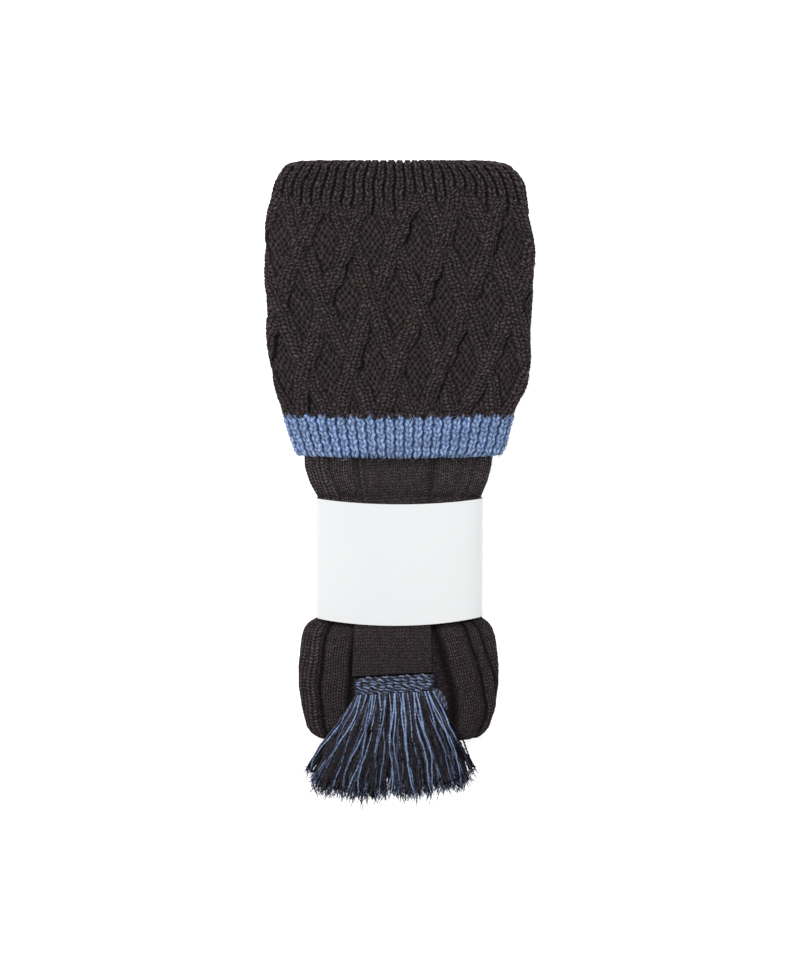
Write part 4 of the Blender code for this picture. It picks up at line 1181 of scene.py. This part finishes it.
# along as a share of the length, height above the table, how far the fan has opened
FRINGE_PATH = np.array([
    (0.00, 23.4, 0.00),
    (0.15, 23.1, 0.13),
    (0.30, 21.9, 0.30),
    (0.44, 19.8, 0.47),
    (0.56, 15.2, 0.61),
    (0.70, 8.6, 0.76),
    (0.84, 3.7, 0.89),
    (1.00, 0.75, 1.00),
])
PATH_SHARE, PATH_HEIGHT, PATH_FAN = FRINGE_PATH.T
TIP_SHARES = [-1.0, -0.9, -0.77, -0.55, -0.4, -0.2, 0.0, 0.1, 0.22, 0.4, 0.61, 0.87, 1.0]
TIP_LENGTHS = [0.76, 0.93, 0.96, 0.985, 1.01, 0.975, 0.965, 0.965, 0.99, 0.965, 0.92, 0.90, 0.76]
# x of the fan's tips: its middle, how far it reaches to the left and right, and where it ends
FAN_MIDDLE = -2.0
FAN_REACH = (35.6, 32.0)
FAN_ENDS = (-38.4, 31.0)


def strand_paths(count, seed, layer_low, layer_high, wander, steps):
    """Paths of the yarns: fanned, layered, each with its own slow wander and length."""
    dice = np.random.default_rng(seed)
    place = np.linspace(-1, 1, count) + dice.normal(0, 0.9 / count, count)
    place = np.clip(place, -1.0, 1.0)
    root = HEAD_LEFT + 1.0 + (place + 1) / 2 * (HEAD_RIGHT - HEAD_LEFT - 1.6)
    tip = FAN_MIDDLE + np.where(place < 0, *FAN_REACH) * place + dice.normal(0, 1.1, count)
    tip = np.clip(tip, *FAN_ENDS)
    reach = np.interp(place, TIP_SHARES, TIP_LENGTHS) * (1 + dice.normal(0, 0.030, count))
    t = np.linspace(0, 1, steps)[None, :]
    along = t * reach[:, None]
    fan = np.interp(along, PATH_SHARE, PATH_FAN) / np.interp(reach, PATH_SHARE, PATH_FAN)[:, None]
    x = root[:, None] + (tip - root)[:, None] * fan
    phase = dice.uniform(0, 2 * np.pi, (count, 1))
    bow = dice.normal(0, 1.0, (count, 1)) * wander
    crimp = 0.10 * np.sin(34.0 * t + 3.0 * phase) + 0.45 * wander * np.sin(2.6 * np.pi * t + phase)
    x = x + bow * np.sin(np.pi * t) + crimp * np.clip(t * 3, 0, 1)
    low = np.interp(along, PATH_SHARE, PATH_HEIGHT)
    side_drop = np.clip((np.abs(x + 1.0) - 20.0) / 14.0, 0, 1) ** 2 * 1.2 * np.clip(1 - along * 2, 0, 1)
    layer = dice.uniform(layer_low, layer_high, (count, 1)) * (1 - 0.6 * np.abs(place[:, None]) ** 4)
    z = low - side_drop + layer * (1 - 0.55 * along) + 0.25 * np.sin(5.0 * t + phase)
    y = FRINGE_TOP_Y - FRINGE_LENGTH * along + HEAD_SLOPE * x * (1 - along)
    return np.stack([x, y, np.maximum(z, 0.7)], axis=2), phase


# %% The fringe's yarns
YARN_PITCH = 3.4
WISP_STEPS = 5
# count, seed, lowest and highest layer, radius, blue value, wander, then sides, steps and frayed ends
STRANDS = [
    (76, 10, -0.3, 0.1, 1.02, 0.01, 0.2, 3, 16, 2),
    (80, 11, -0.2, 0.7, 0.60, 0.01, 0.5, 3, 22, 2),
    (90, 12, 0.6, 1.6, 0.46, 0.02, 0.9, 3, 26, 3),
    (30, 13, 0.8, 2.2, 0.39, 0.30, 1.2, 3, 26, 3),
    (84, 15, 1.4, 2.7, 0.39, 0.01, 1.2, 3, 26, 3),
    (50, 16, 1.8, 2.9, 0.16, 0.03, 1.8, 3, 26, 3),
    (29, 14, 1.9, 3.1, 0.31, 0.97, 1.6, 5, 28, 3),
]


def build_strands(count, seed, low, high, radius, blue, wander, sides, steps, frays):
    """Plied yarns with frayed ends, as parts for one mesh."""
    paths, phase = strand_paths(count, seed, low, high, wander, steps)
    dice = np.random.default_rng(seed + 100)
    t = np.linspace(0, 1, steps)[None, :]
    grow = 1 + 1.2 * np.clip((t - 0.84) / 0.16, 0, 1) ** 2
    parts = []
    thick = radius * (1 + dice.normal(0, 0.12, (count, 1))) * (1 - 0.5 * np.clip((t - 0.90) / 0.10, 0, 1))
    glow = np.maximum(dice.uniform(0.25, 1.50, count), 0.5 * (blue > 0.5))
    shade = np.clip(blue + dice.normal(0, 0.08, count), 0, 1)
    key_y = FRINGE_TOP_Y - FRINGE_LENGTH * PATH_SHARE[::-1]
    for strand in plied(paths, radius * 0.60, YARN_PITCH, phase[:, 0], grow):
        strand[:, :, 2] = np.maximum(strand[:, :, 2], 0.55)
        points, faces = sweep(strand, thick * 0.78, sides)
        mottle = np.repeat(shade, steps * sides) * (1 + 0.25 * np.sin(points[:, 1] * 0.9 + points[:, 0]))
        # painted shade: lower strands and each strand's underside are darker, scaled at random by glow
        depth = (points[:, 2] - np.interp(points[:, 1], key_y, PATH_HEIGHT[::-1])) / 3.4 + 0.12
        over = np.clip((points[:, 2] - np.repeat(strand[:, :, 2].ravel(), sides)) / radius, -1.0, 1.0)
        depth = np.clip(depth * np.repeat(glow, steps * sides) * (0.68 + 0.5 * over), 0.03, 1.0)
        parts.append((points, faces, np.clip(mottle, 0, 1), depth))
    ends = paths[:, -1]
    wisps = []
    for end, way in zip(ends, unit(ends - paths[:, -4])):
        for _ in range(frays):
            side = dice.normal(0, 0.42, 3)
            length = dice.uniform(0.9, 4.0)
            s = np.linspace(0, 1, WISP_STEPS)[:, None]
            wisp = end + (way + side) * s * length + dice.normal(0, 0.3, 3) * s**2
            wisp[:, 2] = np.maximum(wisp[:, 2], 0.35)
            wisps.append(wisp)
    points, faces = sweep(wisps, np.linspace(0.27, 0.07, WISP_STEPS)[None, :], 3)
    # painted light: the frayed ends are pushed a little toward the lighter blue, as light shows through
    parts.append((points, faces, np.clip(np.repeat(shade, frays * WISP_STEPS * 3) + 0.05, 0, 1), 0.90))
    return parts


fringe_parts = [part for row in STRANDS for part in build_strands(*row)]
tassel = yarn_mesh("yarn_tassel", heading_parts + fringe_parts)


# %% [markdown]
# ## Yarn wool
# The tassel has no stitches, so its wool is simpler: fibres and flecks in a charcoal and a blue of
# its own, and painted shade between the strands from the depth value that each point carries.

# %% The tassel's wool
# three colours of a yarn: the painted shade colour, the body and the lightest fibres
NIGHT = ((0.0025, 0.0018, 0.002, 1.0), (0.0190, 0.0145, 0.0162, 1.0), (0.130, 0.110, 0.115, 1.0))
HEATHER = ((0.014, 0.028, 0.085, 1.0), (0.190, 0.295, 0.560, 1.0), (0.560, 0.680, 0.920, 1.0))


def yarn_wool(name, dark, other):
    """Wool for bare yarn, from charcoal to blue by the blue value."""
    paint = Paint(name)
    fibre = paint.noise(2400.0)
    fleck = paint.noise(800.0)
    glint = paint.math("MULTIPLY", fibre, fleck)
    # painted shade: the deep colour where the depth value is low
    seen = paint.spread(paint.value("depth"), 0.0, 0.55)
    layers = []
    for deep, middle, light in (dark, other):
        layers.append(paint.mixed(seen, deep, paint.mixed(glint, middle, light)))
    return paint.cover(paint.mixed(paint.value("blue"), *layers), fibre, 0.0001, 0.8, 0.9, 0.05)


tassel.data.materials.append(yarn_wool("tassel_wool", NIGHT, HEATHER))
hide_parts("tassel")
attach(tassel, "root")

# %% [markdown]
# ## Stray fibres
# Worn wool is never clean: short fibres stand out of the yarn everywhere. A few thousand thin hairs
# lie over the cuff, the trim and the leg, each bent a little, in its yarn's colour or a bit lighter.

# %% Stray fibres
STRAY = ((0.010, 0.008, 0.009, 1.0), (0.045, 0.037, 0.040, 1.0), (0.150, 0.130, 0.135, 1.0))
HAIR_RADIUS = 0.040


def stray_fibres():
    """Thin bent hairs that lie on the knitted shells."""
    dice = np.random.default_rng(21)
    parts = []
    t = np.linspace(0, 1, 5)[None, :, None]
    for placed, normals, open_wool, blue, count in shells:
        spots = np.argwhere(np.broadcast_to(open_wool, placed.shape[:2]))
        rows, cols = spots[dice.integers(0, len(spots), count)].T
        start, away = placed[rows, cols][:, None, :], normals[rows, cols][:, None, :]
        way = unit(np.cross(away, dice.normal(0, 1, (count, 1, 3))))
        bend = np.cross(away, way) * dice.normal(0, 0.9, (count, 1, 1))
        length = dice.uniform(1.0, 3.6, (count, 1, 1))
        high = dice.uniform(0.3, 0.9, (count, 1, 1))
        paths = start + way * length * t + bend * t**2 + away * high * (np.sin(np.pi * 0.75 * t) + 0.1)
        parts.append((*sweep(paths, HAIR_RADIUS, 3), blue, 0.9))
    return parts


stray = yarn_mesh("stray_fibres", stray_fibres())
stray.data.materials.append(yarn_wool("stray_wool", STRAY, BLUE))
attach(stray, "root")

# %% [markdown]
# ## The paper band
# The band is a strip of smooth white paper, closed into a ring. Its front edges bow, lower in the
# middle, and the lower edge is a touch askew. It is swept again here with more points, so no facet
# shows in its highlights. The paper is almost white and matt, with a faint tooth.

# %% The paper ring
BAND_TOP = -6.7
BAND_HEIGHT = 49.0
BAND_HALF = 34.5
BAND_RISE = 10.35
BAND_POWER = 4.6
BAND_FINE = 0.9
BAND_SKEW = 0.35
PAPER_THICK = 0.35
# rows down the band as shares of its height, close together at its two edges
BAND_ROWS = [0.0, 0.003, *np.linspace(0.05, 0.95, 19), 0.997, 1.0]


def build_band():
    """The paper ring, outside and inside, as one closed wall."""
    unit_x, unit_h, _ = oval_points(BAND_HALF, BAND_RISE, BAND_FINE, BAND_FINE, BAND_POWER)
    walls = []
    for inset, rows in ((0.0, BAND_ROWS), (PAPER_THICK, BAND_ROWS[::-1])):
        for t in rows:
            wide = BAND_HALF - inset
            place = (BAND_TOP - BAND_HEIGHT * t, BAND_RISE)
            ring = tube_ring(unit_x, unit_h, wide, wide, BAND_RISE - inset, place)
            ring[:, 1] -= (2.3 + 0.9 * t) * (1 - unit_x**2) * (unit_h > 0) - BAND_SKEW * t * unit_x
            walls.append(ring)
    flat = np.zeros((len(walls), len(unit_x)))
    return knit_mesh("paper_ring", np.array(walls), flat, flat, flat + 1.0, close_rows=True)


# %% Paper
def paper():
    """Matt white paper with a slow cloud of tone and a fine tooth."""
    paint = Paint("smooth_paper")
    cloud = paint.noise(30.0, rough=0.5)
    tone = paint.mixed(cloud, (0.765, 0.772, 0.782, 1.0), (0.780, 0.786, 0.792, 1.0))
    return paint.cover(tone, paint.noise(3800.0, 3.0), 0.00002, 0.35, 0.6, 0.3)


paper_ring = build_band()
paper_ring.data.materials.append(paper())
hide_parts("paper_band")
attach(paper_ring, "root")
